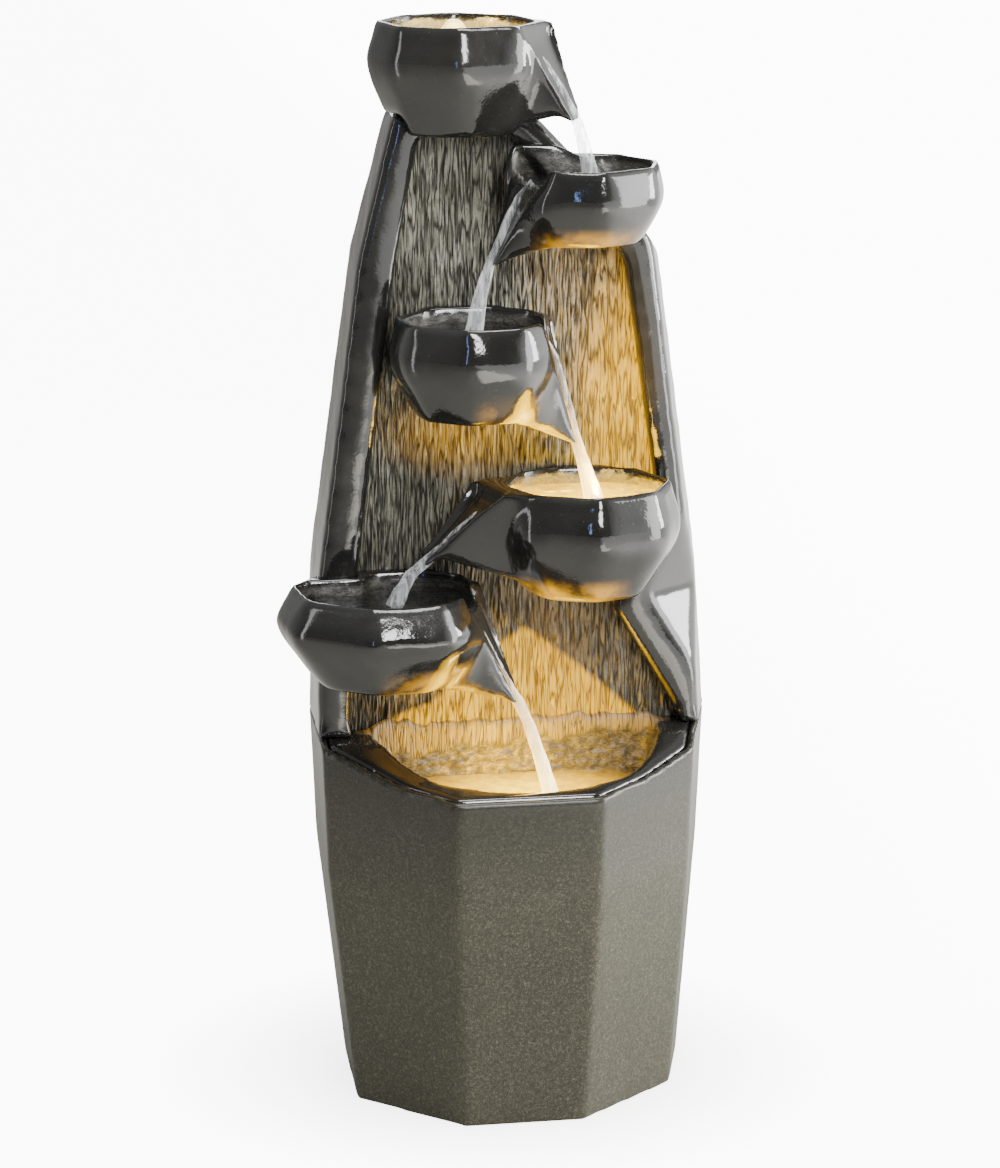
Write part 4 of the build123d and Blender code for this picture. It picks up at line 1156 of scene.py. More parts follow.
@dataclass
class ColumnCasting(Casting):
    """Column shell with its flanks, shoulders and rear door opening."""

    node: str = "column_shell"
    name: str = "column_casting"
    slot: str = "black_resin"
    voxel: float = 0.0033
    rounds: int = 40
    swell: float = 0.0012
    seam: float = 0.345
    seam_band: Band = (0.003, 0.014)
    door_half: float = 0.074
    door_low: float = 0.345
    door_high: float = 0.496
    door_y: float = 0.14
    hub: tuple[float, float] = (0.0, 0.06)
    front: float = -0.012
    hollow_tilt: float = 0.2

    def softness(self, place: Vector, normal: Vector) -> float:
        """Keep the foot seam and the door's rebate crisp.

        Args:
            place: the point's place.
            normal: its normal, not used.

        Returns:
            The share, from 0 to 1.
        """
        foot = ease_from(place.z, self.seam, self.seam_band)
        level = self.door_low < place.z < self.door_high
        at_door = level and place.y > self.door_y and abs(place.x) < self.door_half
        return 0.0 if at_door else foot

    def texture(self, piece: bpy.types.Object) -> None:
        """Leave the inside of the shell rough.

        Args:
            piece: the softened casting.
        """
        mark(piece, Mask.ROUGH, lambda place, normal: 1.0 if self.inside(place, normal) else 0.0)

    def inside(self, place: Vector, normal: Vector) -> bool:
        """Whether a point lies on the hollow side of the shell."""
        hub = Vector((*self.hub, place.z))
        return place.y > self.front and normal.dot((hub - place).normalized()) > self.hollow_tilt


@dataclass
class BowlCasting(Casting):
    """One spouted bowl, glossy outside and stony in its pool.

    A band or tilt runs from where a mask is none to where it is full; a tilt is how a point faces.
    """

    slot: str = "black_resin"
    voxel: float = 0.002
    rounds: int = 18
    pillow: int = 140
    swell: float = 0.0012
    crease: float = 180.0
    centre: tuple[float, float] = (0.0, 0.0)
    rim: float = 0.0
    radius: float = 0.07
    bearing: float = 0.0
    pool: float = 0.06
    tip: Point = (0.0, 0.0, 0.0)
    # Across, half width and top of the painted reflection of the lamps below on the underside.
    glint: Point | None = None
    lift: Point | None = None
    face: float = -0.020
    panel_top: float = 0.89
    sink: float = 0.006
    turns: int = 260
    bulge: float = 0.003
    lip_rounds: int = 50
    grit: tuple[Point, float] = ((0.007, 0.007, 0.005), 0.0022)
    lift_reach: float = 0.02
    lift_blend: float = 0.035
    touch: float = 0.0004
    rim_share: float = 0.12
    tip_share: float = 0.3
    lip_band: Band = (0.008, 0.026)
    tip_band: Band = (0.012, 0.045)
    under_band: Band = (0.02, 0.06)
    sill_band: Band = (-0.018, 0.004)
    face_band: Band = (-0.002, -0.016)
    shell_band: Band = (-0.006, -0.0005)
    belly_band: Band = (-0.008, -0.035)
    pool_band: Band = (0.012, -0.002)
    pool_depth: Band = (-0.003, -0.011)
    lift_depth: float = 0.012
    glint_depth: float = 0.016
    wall_tilt: Band = (0.75, 0.45)
    under_tilt: Band = (0.2, 0.5)
    keel_tilt: Band = (0.0, 0.4)
    belly_tilt: Band = (0.2, 0.6)
    inner_tilt: Band = (-0.1, -0.5)
    floor_tilt: Band = (0.4, 0.8)
    glint_tilt: Band = (0.15, 0.4)

    def copy(self) -> bpy.types.Object:
        """Copy the node and sink its back into the panel, so that no gap opens there.

        Returns:
            The new object.
        """
        piece = super().copy()
        with editing(piece) as mesh:
            choose(mesh, piece, lambda place: abs(place.y - self.face) < self.touch
                   and place.z < self.panel_top)
            bpy.ops.transform.translate(value=(0.0, self.sink, 0.0))
        return piece

    def turn(self, piece: bpy.types.Object) -> None:
        """Round the corners between the upright facets, level by level.

        Args:
            piece: the remeshed bowl.
        """
        smooth(piece, "upright", self.uprightness, self.turns, level=True)

    def soften(self, piece: bpy.types.Object) -> None:
        """Soften the bowl, then round the thin lips of its spout further.

        Args:
            piece: the object to soften.
        """
        super().soften(piece)
        smooth(piece, "lips", self.lips, self.lip_rounds)

    def texture(self, piece: bpy.types.Object) -> None:
        """Fill out the belly, roughen the pool and lift the lip where it stands higher.

        Args:
            piece: the softened casting.
        """
        push(piece, weigh(piece, "belly", self.belly), self.bulge)
        mark(piece, Mask.ROUGH, self.stoniness)
        # Mask for the painted reflection of the lamps below on the underside.
        mark(piece, Mask.WARM, self.painted_glint_share)
        stony = weigh(piece, "stony", self.stoniness)
        roughen(piece, Noise.CLOUDS, *self.grit, depth=3, group=stony)
        if self.lift is not None:
            with editing(piece) as mesh:
                choose(mesh, piece, lambda place: place.z > self.rim - self.lift_depth
                       and (place.xy - Vector(self.lift[:2])).length < self.lift_reach)
                heave(self.lift[2], self.lift_blend)

    def out(self, x: float, y: float) -> Vector:
        """Level way from the bowl's axis to a place."""
        return Vector((x - self.centre[0], y - self.centre[1], 0.0))

    def from_tip(self, place: Vector) -> float:
        """Distance of a place from the spout's tip."""
        return (place - Vector(self.tip)).length

    def reach(self, place: Vector) -> float:
        """Distance from the bowl's axis to the facet plane through a place.

        Args:
            place: the point's place.

        Returns:
            The distance.
        """
        out = (place.x - self.centre[0], place.y - self.centre[1])
        bearings = (math.radians(self.bearing + 45.0 * k) for k in range(8))
        return max(out[0] * math.cos(turn) + out[1] * math.sin(turn) for turn in bearings)

    def spout(self, place: Vector) -> float:
        """Share of the spout at a place, from 0 in the bowl to 1 beyond its sill."""
        way = self.out(*self.tip[:2]).normalized()
        return ease_from(self.out(place.x, place.y).dot(way), self.radius, self.sill_band)

    def ahead(self, place: Vector) -> float:
        """Nothing at the panel, all in front of it; the top bowl stands free."""
        return 1.0 if self.rim > self.panel_top else ease_from(place.y, self.face, self.face_band)

    def uprightness(self, place: Vector, normal: Vector) -> float:
        """Share of the level rounding: walls in full, the rim's top a little, spout and back none."""
        wall = self.rim_share + (1.0 - self.rim_share) * ease(abs(normal.z), *self.wall_tilt)
        return wall * self.ahead(place) * (1.0 - self.spout(place))

    def softness(self, place: Vector, normal: Vector) -> float:
        """Round the whole bowl, but the thin tip of its spout less."""
        return self.tip_share + (1.0 - self.tip_share) * ease(self.from_tip(place), *self.tip_band)

    def lips(self, place: Vector, normal: Vector) -> float:
        """Share of the spout's own rounding: all of it but the tip."""
        return self.spout(place) * ease(self.from_tip(place), *self.lip_band)

    def fullness(self, place: Vector, normal: Vector) -> float:
        """Pillow the outside from the middle of the lip down, and of the spout only the underside.

        Args:
            place: the point's place.
            normal: its normal.

        Returns:
            The share, from 0 to 1.
        """
        beyond = ease_from(self.reach(place), self.radius, self.shell_band)
        outer = max(beyond, ease(-normal.z, *self.under_tilt))
        under = 0.5 * ease(-normal.z, *self.keel_tilt) * ease(self.from_tip(place), *self.under_band)
        spout = self.spout(place)
        return self.ahead(place) * (outer * (1.0 - spout) + under * spout)

    def belly(self, place: Vector, normal: Vector) -> float:
        """Outside of the bowl between its lip and its foot.

        Args:
            place: the point's place.
            normal: its normal.

        Returns:
            The share, from 0 to 1.
        """
        outer = ease(normal.dot(self.out(place.x, place.y).normalized()), *self.belly_tilt)
        level = ease_from(place.z, self.rim, self.belly_band)
        return outer * level * self.ahead(place) * (1.0 - self.spout(place))

    def stoniness(self, place: Vector, normal: Vector) -> float:
        """How stony the bowl is at a place: its pool, below the rim.

        Args:
            place: the point's place.
            normal: its normal.

        Returns:
            The share, from 0 to 1.
        """
        out = self.out(place.x, place.y)
        near = ease_from(out.length, self.pool, self.pool_band)
        inner = max(ease(normal.dot(out.normalized()), *self.inner_tilt), ease(normal.z, *self.floor_tilt))
        below = ease_from(place.z, self.rim, self.pool_depth)
        return near * inner * below * (1.0 - self.spout(place))

    def painted_glint_share(self, place: Vector, normal: Vector) -> float:
        """Share of the painted reflection of the lamps below on the underside at a place.

        Args:
            place: the point's place.
            normal: its normal.

        Returns:
            The share, from 0 to 1.
        """
        if self.glint is None:
            return 0.0
        across, half, top = self.glint
        near = ease(abs(place.x - across), half, 0.35 * half) * ease(place.z, top, top - self.glint_depth)
        return near * ease(-normal.z, *self.glint_tilt) * self.ahead(place)


@dataclass
class BarkRelief:
    """Panel of vertical bark grooves between the flanks."""

    node: str = "bark_panel"
    slot: str = "bark_resin"
    face: float = -0.020
    back: float = -0.0086
    proud: float = 0.010
    step: Point = (0.0009, 0.0, 0.003)
    spare: float = 0.01
    skirt: float = 0.02
    groove: float = 0.006
    ridges: Point = (0.0032, 1.0, 0.022)
    waves: Point = (0.03, 1.0, 0.05)

    def board(self) -> bpy.types.Object:
        """Lay a fine upright grid a little in front of the panel's place.

        Returns:
            The grid, at the origin.
        """
        low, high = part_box(self.node)
        wide, tall = high[0] - low[0] + self.spare, high[2] - low[2] + self.spare
        columns, rows = int(wide / self.step[0]), int(tall / self.step[2])
        middle = ((low[0] + high[0]) / 2, self.face, (low[2] + high[2]) / 2)
        piece = start("bark_relief", bpy.ops.mesh.primitive_grid_add, x_subdivisions=columns,
                      y_subdivisions=rows, size=1.0, rotation=(math.pi / 2, 0.0, 0.0), location=middle)
        piece.scale = (wide, tall, 1.0)
        settle(piece)
        return piece

    def outline(self) -> bpy.types.Object:
        """Copy the panel's solid and stretch it forwards, to trim the grid by.

        Returns:
            The trimming solid.
        """
        block = copy_node(self.node, "trim")
        with editing(block) as mesh:
            choose(mesh, block, lambda place: place.y < self.face + 0.001)
            bpy.ops.transform.translate(value=(0.0, -self.proud, 0.0))
        return block

    def build(self, finish: bpy.types.Material) -> bpy.types.Object:
        """Carve the grooves, back the grid and trim it to the panel.

        Args:
            finish: its material.

        Returns:
            The finished panel.
        """
        piece = self.board()
        roughen(piece, Noise.CREASES, self.ridges, -0.7 * self.groove, depth=0, direction="Y")
        roughen(piece, Noise.CLOUDS, self.waves, 0.3 * self.groove, depth=2, direction="Y")
        with editing(piece, whole=True):
            bpy.ops.mesh.region_to_loop()
            bpy.ops.mesh.extrude_edges_move(TRANSFORM_OT_translate={"value": (0.0, self.skirt, 0.0)})
            bpy.ops.transform.resize(value=(1.0, 0.0, 1.0), center_override=(0.0, self.back, 0.0))
            bpy.ops.mesh.edge_face_add()
            bpy.ops.mesh.select_all(action="SELECT")
            bpy.ops.mesh.normals_make_consistent(inside=False)
        trim = self.outline()
        apply(piece, "BOOLEAN", operation="INTERSECT", object=trim, solver="EXACT")
        bpy.data.objects.remove(trim)
        deep, high = self.face + 0.55 * self.groove, self.face - 0.25 * self.groove
        mark(piece, Mask.RIDGE, lambda place, normal: (deep - place.y) / (deep - high))
        return publish(piece, finish, stands_for=(self.node,), crease=75.0)


@dataclass
class Pool:
    """Water standing in a bowl or in the basin."""

    name: str
    centre: tuple[float, float]
    level: float
    radius: tuple[float, float]
    back: float = -0.017
    depth: float = 0.004
    mound: Point | None = None
    mound_radius: float = 0.014
    cells: int = 64
    swell: float = 0.0018
    swell_size: Point = (0.016, 0.016, 0.016)

    def build(self, finish: bpy.types.Material) -> bpy.types.Object:
        """Lay the surface, trim it at the panel and give it a depth.

        Args:
            finish: its material.

        Returns:
            The finished pool.
        """
        piece = start(self.name, bpy.ops.mesh.primitive_grid_add, x_subdivisions=self.cells,
                      y_subdivisions=self.cells, size=2.0, location=(*self.centre, self.level))
        piece.scale = (*self.radius, 1.0)
        settle(piece)
        with editing(piece) as mesh:
            choose(mesh, piece, lambda place: not self.wet(place))
            bpy.ops.mesh.delete(type="VERT")
        with editing(piece, whole=True):
            bpy.ops.mesh.bisect(plane_co=(0.0, self.back, 0.0), plane_no=(0.0, 1.0, 0.0), clear_outer=True)
        roughen(piece, Noise.CLOUDS, self.swell_size, self.swell, depth=2, direction="Z")
        if self.mound is not None:
            top, rise = Vector(self.mound[:2]), self.mound[2] - self.level
            with editing(piece) as mesh:
                choose(mesh, piece, lambda place: (place.xy - top).length < 0.3 * self.mound_radius)
                heave(rise, self.mound_radius)
        apply(piece, "SOLIDIFY", thickness=self.depth, offset=-1.0)
        return publish(piece, finish, crease=70.0)

    def wet(self, place: Vector) -> bool:
        """Whether a place lies in the pool's oval.

        Args:
            place: the point's place.

        Returns:
            True inside the oval.
        """
        across = (place.x - self.centre[0]) / self.radius[0]
        along = (place.y - self.centre[1]) / self.radius[1]
        return across * across + along * along <= 1.0


@dataclass
class Stream:
    """Water that runs down a spout and falls into the next pool."""

    name: str
    course: tuple[tuple[float, float, float, float], ...]
    # Place and radius of a painted glow of the lamp-lit pool below on the falling water.
    glow_at: Point | None = None
    glow_radius: float = 0.08
    ruffle: float = 0.003
    ruffle_size: Point = (0.006, 0.006, 0.03)

    def build(self, finish: bpy.types.Material) -> bpy.types.Object:
        """Draw the water's course as a tapered tube and ruffle it.

        Args:
            finish: its material.

        Returns:
            The finished stream.
        """
        piece = start(self.name, bpy.ops.curve.primitive_nurbs_path_add, location=(0.0, 0.0, 0.0))
        curve = piece.data
        spline = curve.splines[0]
        spline.points.add(len(self.course) - len(spline.points))
        for point, (x, y, z, width) in zip(spline.points, self.course):
            point.co = (x, y, z, 1.0)
            point.radius = width
        spline.order_u = 3
        spline.use_endpoint_u = True
        spline.resolution_u = 10
        curve.dimensions = "3D"
        curve.bevel_depth = 0.5
        curve.bevel_resolution = 6
        curve.use_fill_caps = True
        only(piece)
        bpy.ops.object.convert(target="MESH")
        piece = bpy.context.active_object
        roughen(piece, Noise.CLOUDS, self.ruffle_size, self.ruffle, depth=2)
        return publish(piece, finish, crease=180.0)


@dataclass
class DoorPull:
    """Turned pull on the rear door."""

    node: str = "door_knob"
    sides: int = 48
    tip: float = 0.0002
    profile: tuple[tuple[float, float], ...] = (
        (0.0075, 0.0), (0.0062, 0.0012), (0.0055, 0.004), (0.0062, 0.0066), (0.0094, 0.0082),
        (0.0109, 0.0105), (0.0108, 0.0128), (0.0092, 0.0149), (0.0058, 0.0158), (0.0, 0.016))

    def build(self, finish: bpy.types.Material) -> bpy.types.Object:
        """Spin the pull's profile round its axis.

        Args:
            finish: its material.

        Returns:
            The finished pull.
        """
        low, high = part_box(self.node)
        axis = Vector(((low[0] + high[0]) / 2, low[1], (low[2] + high[2]) / 2))
        piece = start("door_pull", bpy.ops.mesh.primitive_circle_add, vertices=self.sides,
                      radius=self.profile[0][0], location=axis, rotation=(-math.pi / 2, 0.0, 0.0),
                      fill_type="NGON")
        settle(piece)
        with editing(piece, whole=True):
            for (radius, depth), (wider, deeper) in zip(self.profile, self.profile[1:]):
                bpy.ops.mesh.extrude_region_move(TRANSFORM_OT_translate={"value": (0.0, deeper - depth, 0.0)})
                share = max(wider, self.tip) / max(radius, self.tip)
                middle = (axis.x, axis.y + deeper, axis.z)
                bpy.ops.transform.resize(value=(share, 1.0, share), center_override=middle)
            bpy.ops.mesh.select_all(action="SELECT")
            bpy.ops.mesh.remove_doubles(threshold=1e-6)
            bpy.ops.mesh.normals_make_consistent(inside=False)
        return publish(piece, finish, Body.DOOR, (self.node,), 50.0)


@dataclass
class DoorPanel:
    """Rear door, softened at its edges like the casting round it."""

    node: str = "access_door"
    bevel: float = 0.0016
    near: float = 1e-4

    def build(self, finish: bpy.types.Material) -> bpy.types.Object:
        """Round the door's outer edges.

        Args:
            finish: its material.

        Returns:
            The finished door.
        """
        piece = copy_node(self.node, "rear_door")
        low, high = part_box(self.node)
        with editing(piece, whole=True):
            bpy.ops.mesh.dissolve_limited(angle_limit=math.radians(1.0))
        with editing(piece) as mesh:
            choose(mesh, piece, lambda place: place.y > high[1] - self.near and (
                min(abs(place.x - low[0]), abs(place.x - high[0])) < self.near))
            bpy.ops.mesh.bevel(offset=self.bevel, segments=4, affect="EDGES")
        mark(piece, Mask.ROUGH, lambda place, normal: 1.0 if normal.y < -0.5 else 0.0)
        return publish(piece, finish, Body.DOOR, (self.node,), 30.0)


@dataclass
class PhotoCamera:
    """Camera at the photograph's angle."""

    azimuth: float = -10.0
    elevation: float = 13.2
    distance: float = 4.0
    aside: float = -0.0037
    height: float = 0.474
    focal: float = 4297.0
    picture: tuple[int, int] = (1000, 1168)
    sensor: float = 36.0
    far: float = 50.0

    def build(self) -> None:
        """Place the camera and make it the scene's own."""
        turn, lift = math.radians(self.azimuth), math.radians(self.elevation)
        back = Vector((math.sin(turn) * math.cos(lift), -math.cos(turn) * math.cos(lift), math.sin(lift)))
        right = Vector((math.cos(turn), math.sin(turn), 0.0))
        target = right * self.aside + Vector((0.0, 0.0, self.height))
        bpy.ops.object.camera_add(location=target + back * self.distance, rotation=aimed(-back))
        camera = bpy.context.active_object
        camera.data.sensor_width = self.sensor
        camera.data.lens = self.focal / max(self.picture) * self.sensor
        camera.data.clip_end = self.far
        bpy.context.scene.camera = camera


@dataclass
class Light:
    """A light that is aimed at a point."""

    name: str
    place: Point
    aim: Point

    def hang(self, kind: str) -> bpy.types.Light:
        """Hang the light and turn it to its aim.

        Args:
            kind: the light's type.

        Returns:
            Its settings.
        """
        turn = aimed(Vector(self.aim) - Vector(self.place))
        light = start(self.name, bpy.ops.object.light_add, type=kind, location=self.place, rotation=turn)
        return light.data


@dataclass
class Softbox(Light):
    """One studio light with a soft face."""

    size: tuple[float, float]
    power: float
    colour: Colour = WHITE

    def build(self) -> None:
        """Hang the softbox and set its face."""
        light = self.hang("AREA")
        light.shape = "RECTANGLE"
        light.size, light.size_y = self.size
        light.energy = self.power
        light.color = self.colour


@dataclass
class SunkenLight(Light):
    """Beam of one submerged light."""

    spread: float
    power: float
    blend: float = 0.25
    radius: float = 0.006
    colour: Colour = (1.0, 0.5, 0.0)

    def build(self) -> None:
        """Set the beam in its pool."""
        light = self.hang("SPOT")
        light.spot_size = math.radians(self.spread)
        light.spot_blend = self.blend
        light.shadow_soft_size = self.radius
        light.energy = self.power
        light.color = self.colour


@dataclass
class Studio:
    """Pale floor, pale surround and soft light."""

    reach: float = 16.0
    paper: float = 10.0
    bounce: float = 2.0
    right: float = 3.2
    left: float = 0.15
    behind: float = 0.4
    above: float = 0.35
    front: float = 0.07
    side_band: Band = (0.55, 0.95)
    behind_band: Band = (0.2, 0.9)
    above_band: Band = (0.3, 0.9)
    floor: Colour = (0.5, 0.485, 0.43)
    foot: Point = (0.0, 0.02, 0.0)
    painted_shadow_ring: Band = (0.12, 0.34)
    painted_shadow_tone: float = 0.35
    bounce_band: Band = (0.45, 1.0)
    bounce_left: float = 0.06
    softboxes: tuple[Softbox, ...] = field(default_factory=lambda: (
        Softbox("key", (0.5, -2.6, 2.0), (0.0, 0.0, 0.5), (0.6, 1.1), 64.0),
        Softbox("strip_right", (1.88, -0.8, 0.95), (0.1, 0.0, 0.55), (0.8, 1.9), 42.0),
        Softbox("strip_left", (-1.9, -0.1, 0.9), (-0.1, 0.0, 0.5), (0.25, 1.9), 6.0),
        Softbox("flank_card", (2.1, -0.1, 0.96), (0.16, -0.03, 0.45), (0.55, 0.8), 40.0),
        Softbox("floor_card", (0.56, -1.9, 0.012), (0.56, -1.9, 1.0), (0.6, 1.6), 14.0, (1.0, 0.95, 0.84)),
        Softbox("overhead", (0.2, -0.5, 2.7), (0.0, 0.0, 0.6), (1.3, 0.8), 40.0),
        Softbox("back_fill", (0.5, 2.4, 1.7), (0.0, 0.0, 0.55), (1.6, 1.2), 36.0),
        Softbox("sky_card", (-0.9, -2.6, 1.2), (-0.1, 0.0, 0.5), (0.16, 0.8), 4.0, (0.3, 0.45, 1.0)),
    ))

    def build(self) -> None:
        """Lay the floor, colour the surround and hang the lights."""
        self.lay_floor()
        self.colour_surround()
        for softbox in self.softboxes:
            softbox.build()

    def lay_floor(self) -> None:
        """Lay a wide pale floor, white to the camera but for a faint painted shadow ring round the foot."""
        floor = start("pale_floor", bpy.ops.mesh.primitive_grid_add, x_subdivisions=12, y_subdivisions=12,
                      size=2 * self.reach, location=(0.0, 0.0, 0.0))
        material = bpy.data.materials.new("pale_floor")
        material.use_nodes = True
        bench = Bench(material.node_tree)
        shader = material.node_tree.nodes["Principled BSDF"]
        bench.feed(shader, "Base Color", self.floor)
        bench.feed(shader, "Roughness", 0.6)
        # Painted shadow: the floor is a little darker round the foot.
        clear = bench.span(bench.distance(self.foot), *self.painted_shadow_ring, self.painted_shadow_tone, 1.0)
        seen = bench.add("LightPath").outputs["Is Camera Ray"]
        bounce = bench.span(bench.along("X"), *self.bounce_band, self.bounce_left, self.bounce)
        paper = bench.math("MULTIPLY", bench.math("MULTIPLY", seen, clear), self.paper)
        paper = bench.math("ADD", paper, bounce)
        bench.feed(shader, "Emission Color", WHITE)
        bench.feed(shader, "Emission Strength", paper)
        floor.data.materials.append(material)

    def colour_surround(self) -> None:
        """Show white to the camera, and to the gloss bright sides and a dark front."""
        world = bpy.data.worlds.new("studio_surround")
        world.use_nodes = True
        bench = Bench(world.node_tree)
        way = bench.add("SeparateXYZ", {0: bench.add("TexCoord").outputs["Generated"]})
        near, far = self.side_band
        right = bench.span(way.outputs["X"], near, far, 0.0, self.right)
        aside = bench.math("ADD", right, bench.span(way.outputs["X"], -near, -far, 0.0, self.left))
        behind = bench.span(way.outputs["Y"], *self.behind_band, self.front, self.behind)
        above = bench.span(way.outputs["Z"], *self.above_band, 0.0, self.above)
        power = bench.math("ADD", bench.math("ADD", aside, behind), above)
        seen = bench.add("LightPath").outputs["Is Camera Ray"]
        shown = bench.add("Mix", {0: seen, 2: power, 3: self.paper}, data_type="FLOAT").outputs[0]
        background = world.node_tree.nodes["Background"]
        bench.feed(background, "Color", WHITE)
        bench.feed(background, "Strength", shown)
        bpy.context.scene.world = world


@dataclass
class Cascade:
    """Water, bowls and lights from the top down."""

    # Each glint places a bowl's painted reflection of the lamps below on its underside.
    bowls: tuple[BowlCasting, ...] = field(default_factory=lambda: (
        BowlCasting("top_bowl", "top_bowl_casting", centre=(-0.046, -0.020), rim=1.000, radius=0.072,
                    bearing=-76.0, pool=0.071, tip=(0.054, -0.065, 0.912)),
        BowlCasting("second_bowl", "second_bowl_casting", centre=(0.056, -0.086), rim=0.878, radius=0.069,
                    bearing=-62.0, pool=0.068, tip=(-0.027, -0.084, 0.787), glint=(0.055, 0.055, 0.829),
                    lift=(0.014, -0.046, 0.012)),
        BowlCasting("third_bowl", "third_bowl_casting", centre=(-0.042, -0.086), rim=0.741, radius=0.070,
                    bearing=-82.0, pool=0.069, tip=(0.051, -0.090, 0.623), glint=(0.002, 0.06, 0.684)),
        BowlCasting("fourth_bowl", "fourth_bowl_casting", centre=(0.060, -0.092), rim=0.589, radius=0.075,
                    bearing=-70.0, pool=0.076, tip=(-0.090, -0.092, 0.518), glint=(0.042, 0.056, 0.514)),
        BowlCasting("fifth_bowl", "fifth_bowl_casting", centre=(-0.124, -0.090), rim=0.497, radius=0.084,
                    bearing=-84.0, pool=0.090, tip=(-0.006, -0.104, 0.388), glint=(-0.07, 0.075, 0.440)),
    ))
    pools: tuple[tuple[Pool, Water], ...] = field(default_factory=lambda: (
        (Pool("top_pool", (-0.046, -0.020), 0.985, (0.068, 0.068), 0.06, mound=(-0.045, 0.006, 0.998)),
         Water("top_water", glow_at=(-0.045, 0.006, 0.985), glow_radius=0.085, core=(1.9, 1.4, 0.5),
               glow_power=3.0)),
        (Pool("second_pool", (0.056, -0.086), 0.863, (0.064, 0.064)), Water("second_water")),
        (Pool("third_pool", (-0.042, -0.086), 0.726, (0.064, 0.064)), Water("third_water")),
        (Pool("fourth_pool", (0.060, -0.092), 0.574, (0.072, 0.072)),
         Water("fourth_water", glow_at=(0.068, -0.108, 0.574), glow_radius=0.15, glow_power=4.6)),
        (Pool("fifth_pool", (-0.124, -0.090), 0.482, (0.084, 0.084)), Water("fifth_water")),
        (Pool("basin_pool", (0.004, -0.040), 0.297, (0.126, 0.122), -0.020),
         Water("basin_water", glow_at=(0.002, -0.092, 0.297), glow_radius=0.13, glow_power=4.6,
               mirrored=3.0)),
    ))
    streams: tuple[Stream, ...] = field(default_factory=lambda: (
        Stream("top_stream", (
            (-0.004, -0.042, 0.982, 0.010), (0.020, -0.052, 0.974, 0.010), (0.040, -0.060, 0.940, 0.009),
            (0.054, -0.066, 0.914, 0.009), (0.060, -0.069, 0.896, 0.011), (0.066, -0.073, 0.860, 0.016))),
        Stream("second_stream", (
            (0.012, -0.087, 0.860, 0.010), (-0.002, -0.086, 0.848, 0.010), (-0.016, -0.085, 0.814, 0.009),
            (-0.028, -0.085, 0.788, 0.009), (-0.036, -0.086, 0.764, 0.012), (-0.044, -0.088, 0.723, 0.018))),
        Stream("third_stream", (
            (0.016, -0.088, 0.723, 0.010), (0.030, -0.089, 0.704, 0.010), (0.042, -0.090, 0.660, 0.009),
            (0.051, -0.091, 0.624, 0.009), (0.058, -0.093, 0.602, 0.012), (0.066, -0.096, 0.571, 0.018)),
            glow_at=(0.066, -0.096, 0.571), glow_radius=0.10),
        Stream("fourth_stream", (
            (-0.020, -0.092, 0.571, 0.010), (-0.045, -0.092, 0.558, 0.010), (-0.070, -0.092, 0.534, 0.009),
            (-0.091, -0.093, 0.518, 0.009), (-0.106, -0.094, 0.505, 0.011), (-0.118, -0.095, 0.479, 0.016))),
        Stream("fifth_stream", (
            (-0.062, -0.098, 0.479, 0.010), (-0.044, -0.100, 0.462, 0.010), (-0.022, -0.102, 0.416, 0.009),
            (-0.005, -0.104, 0.389, 0.010), (0.010, -0.107, 0.354, 0.011), (0.026, -0.111, 0.294, 0.015)),
            glow_at=(0.026, -0.111, 0.294), glow_radius=0.14),
    ))
    beams: tuple[SunkenLight, ...] = field(default_factory=lambda: (
        SunkenLight("top_beam", (-0.045, -0.012, 0.992), (-0.046, 0.02, 1.05), 160.0, 0.9),
        SunkenLight("bowl_beam", (0.068, -0.106, 0.578), (0.104, -0.02, 0.74), 62.0, 5.0, 0.5),
        SunkenLight("bowl_spill", (0.068, -0.106, 0.578), (0.02, -0.06, 0.70), 150.0, 1.2, 0.6),
        SunkenLight("basin_beam", (0.002, -0.094, 0.301), (0.004, -0.02, 0.309), 124.0, 1.3, 0.12),
        SunkenLight("basin_spill", (0.002, -0.094, 0.301), (-0.02, -0.08, 0.45), 120.0, 0.8, 0.6),
    ))

    def build(self, resin: bpy.types.Material, effects: Effects) -> None:
        """Cast the bowls, fill them, let the water fall and light it.

        Args:
            resin: finish of the bowls.
            effects: the shared groups.
        """
        for bowl in self.bowls:
            bowl.build(resin)
        for pool, water in self.pools:
            pool.build(water.build(effects))
        for stream in self.streams:
            # Each stream's water has a painted glow near a lamp-lit pool.
            water = Water(f"{stream.name}_water", tint=(0.82, 0.84, 0.85), glow_at=stream.glow_at,
                          glow_radius=stream.glow_radius, core=(1.0, 0.72, 0.22), glow_power=4.0,
                          glow_body=0.35, body=0.08, edge=0.3, whiteness=0.5, wave=210.0, stretch=0.16)
            stream.build(water.build(effects))
        for beam in self.beams:
            beam.build()


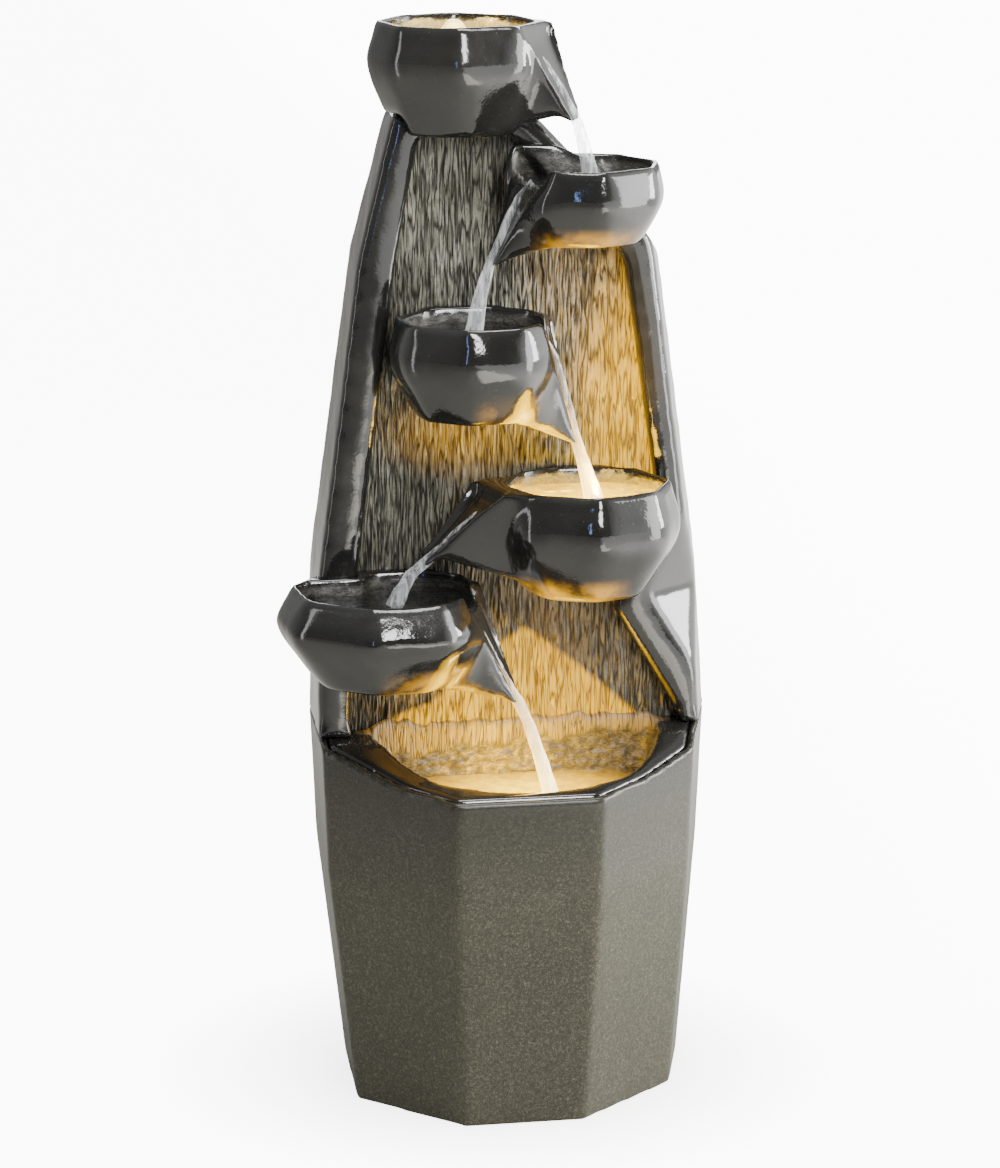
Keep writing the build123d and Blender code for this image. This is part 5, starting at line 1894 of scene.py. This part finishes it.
@dataclass
class Fittings:
    """CAD nodes that keep their own shape and get a finish, named for its slot in the record."""

    finishes: tuple[Finish, ...] = (
        Moulded("pump_plastic", (0.022, 0.024, 0.027)),
        Moulded("strainer_plastic", (0.035, 0.04, 0.044), shine=(0.38, 0.55)),
        Moulded("impeller_plastic", (0.72, 0.73, 0.7), shine=(0.3, 0.42)),
        Moulded("dial_plastic", (0.03, 0.15, 0.34), shine=(0.3, 0.4)),
        Moulded("hose_vinyl", (0.03, 0.034, 0.03), shine=(0.18, 0.3)),
        Moulded("clip_plastic", (0.05, 0.05, 0.05)),
        Moulded("rubber_black", (0.016, 0.016, 0.016), shine=(0.55, 0.75), grain=1400.0),
        Moulded("steel", (0.56, 0.56, 0.55), metallic=1.0, shine=(0.22, 0.4), grain=1500.0,
                rub=(0.68, 0.68, 0.67)),
        Moulded("ferrite", (0.08, 0.08, 0.085), metallic=0.6, shine=(0.4, 0.6)),
        Moulded("nozzle_brass", (0.72, 0.5, 0.2), metallic=1.0, shine=(0.2, 0.36), grain=1500.0,
                rub=(0.6, 0.44, 0.2)),
        Moulded("led_shell", (0.025, 0.025, 0.026)),
        FrostedLens("led_lens"),
    )

    def build(self, effects: Effects) -> None:
        """Dress each node that still shows by its record slot.

        Args:
            effects: the shared groups.
        """
        made = {finish.name: finish.build(effects) for finish in self.finishes}
        for row in frame["record"]["subparts"]:
            slot = row["material_slot"]
            if slot in made:
                node = frame["nodes"][row["node"]]
                node.data.materials.clear()
                node.data.materials.append(made[slot])
                log.info("%s dressed as %s", row["node"], slot)


def main() -> None:
    """Build the fountain's looks in order and note the sizes."""
    logging.basicConfig(level=logging.INFO, format="%(message)s")
    effects = Effects()
    PhotoCamera().build()
    Studio().build()
    resin = GlossResin("gloss_resin").build(effects)
    BaseCasting().build(SatinGranite("satin_granite").build(effects))
    BasinCasting().build(resin)
    ColumnCasting().build(resin)
    BarkRelief().build(DryBrushedBark("dry_brushed_bark").build(effects))
    Cascade().build(resin, effects)
    DoorPanel().build(resin)
    DoorPull().build(Moulded("pull_plastic", (0.02, 0.02, 0.02), shine=(0.12, 0.22)).build(effects))
    Fittings().build(effects)


if __name__ == "__main__":
    main()
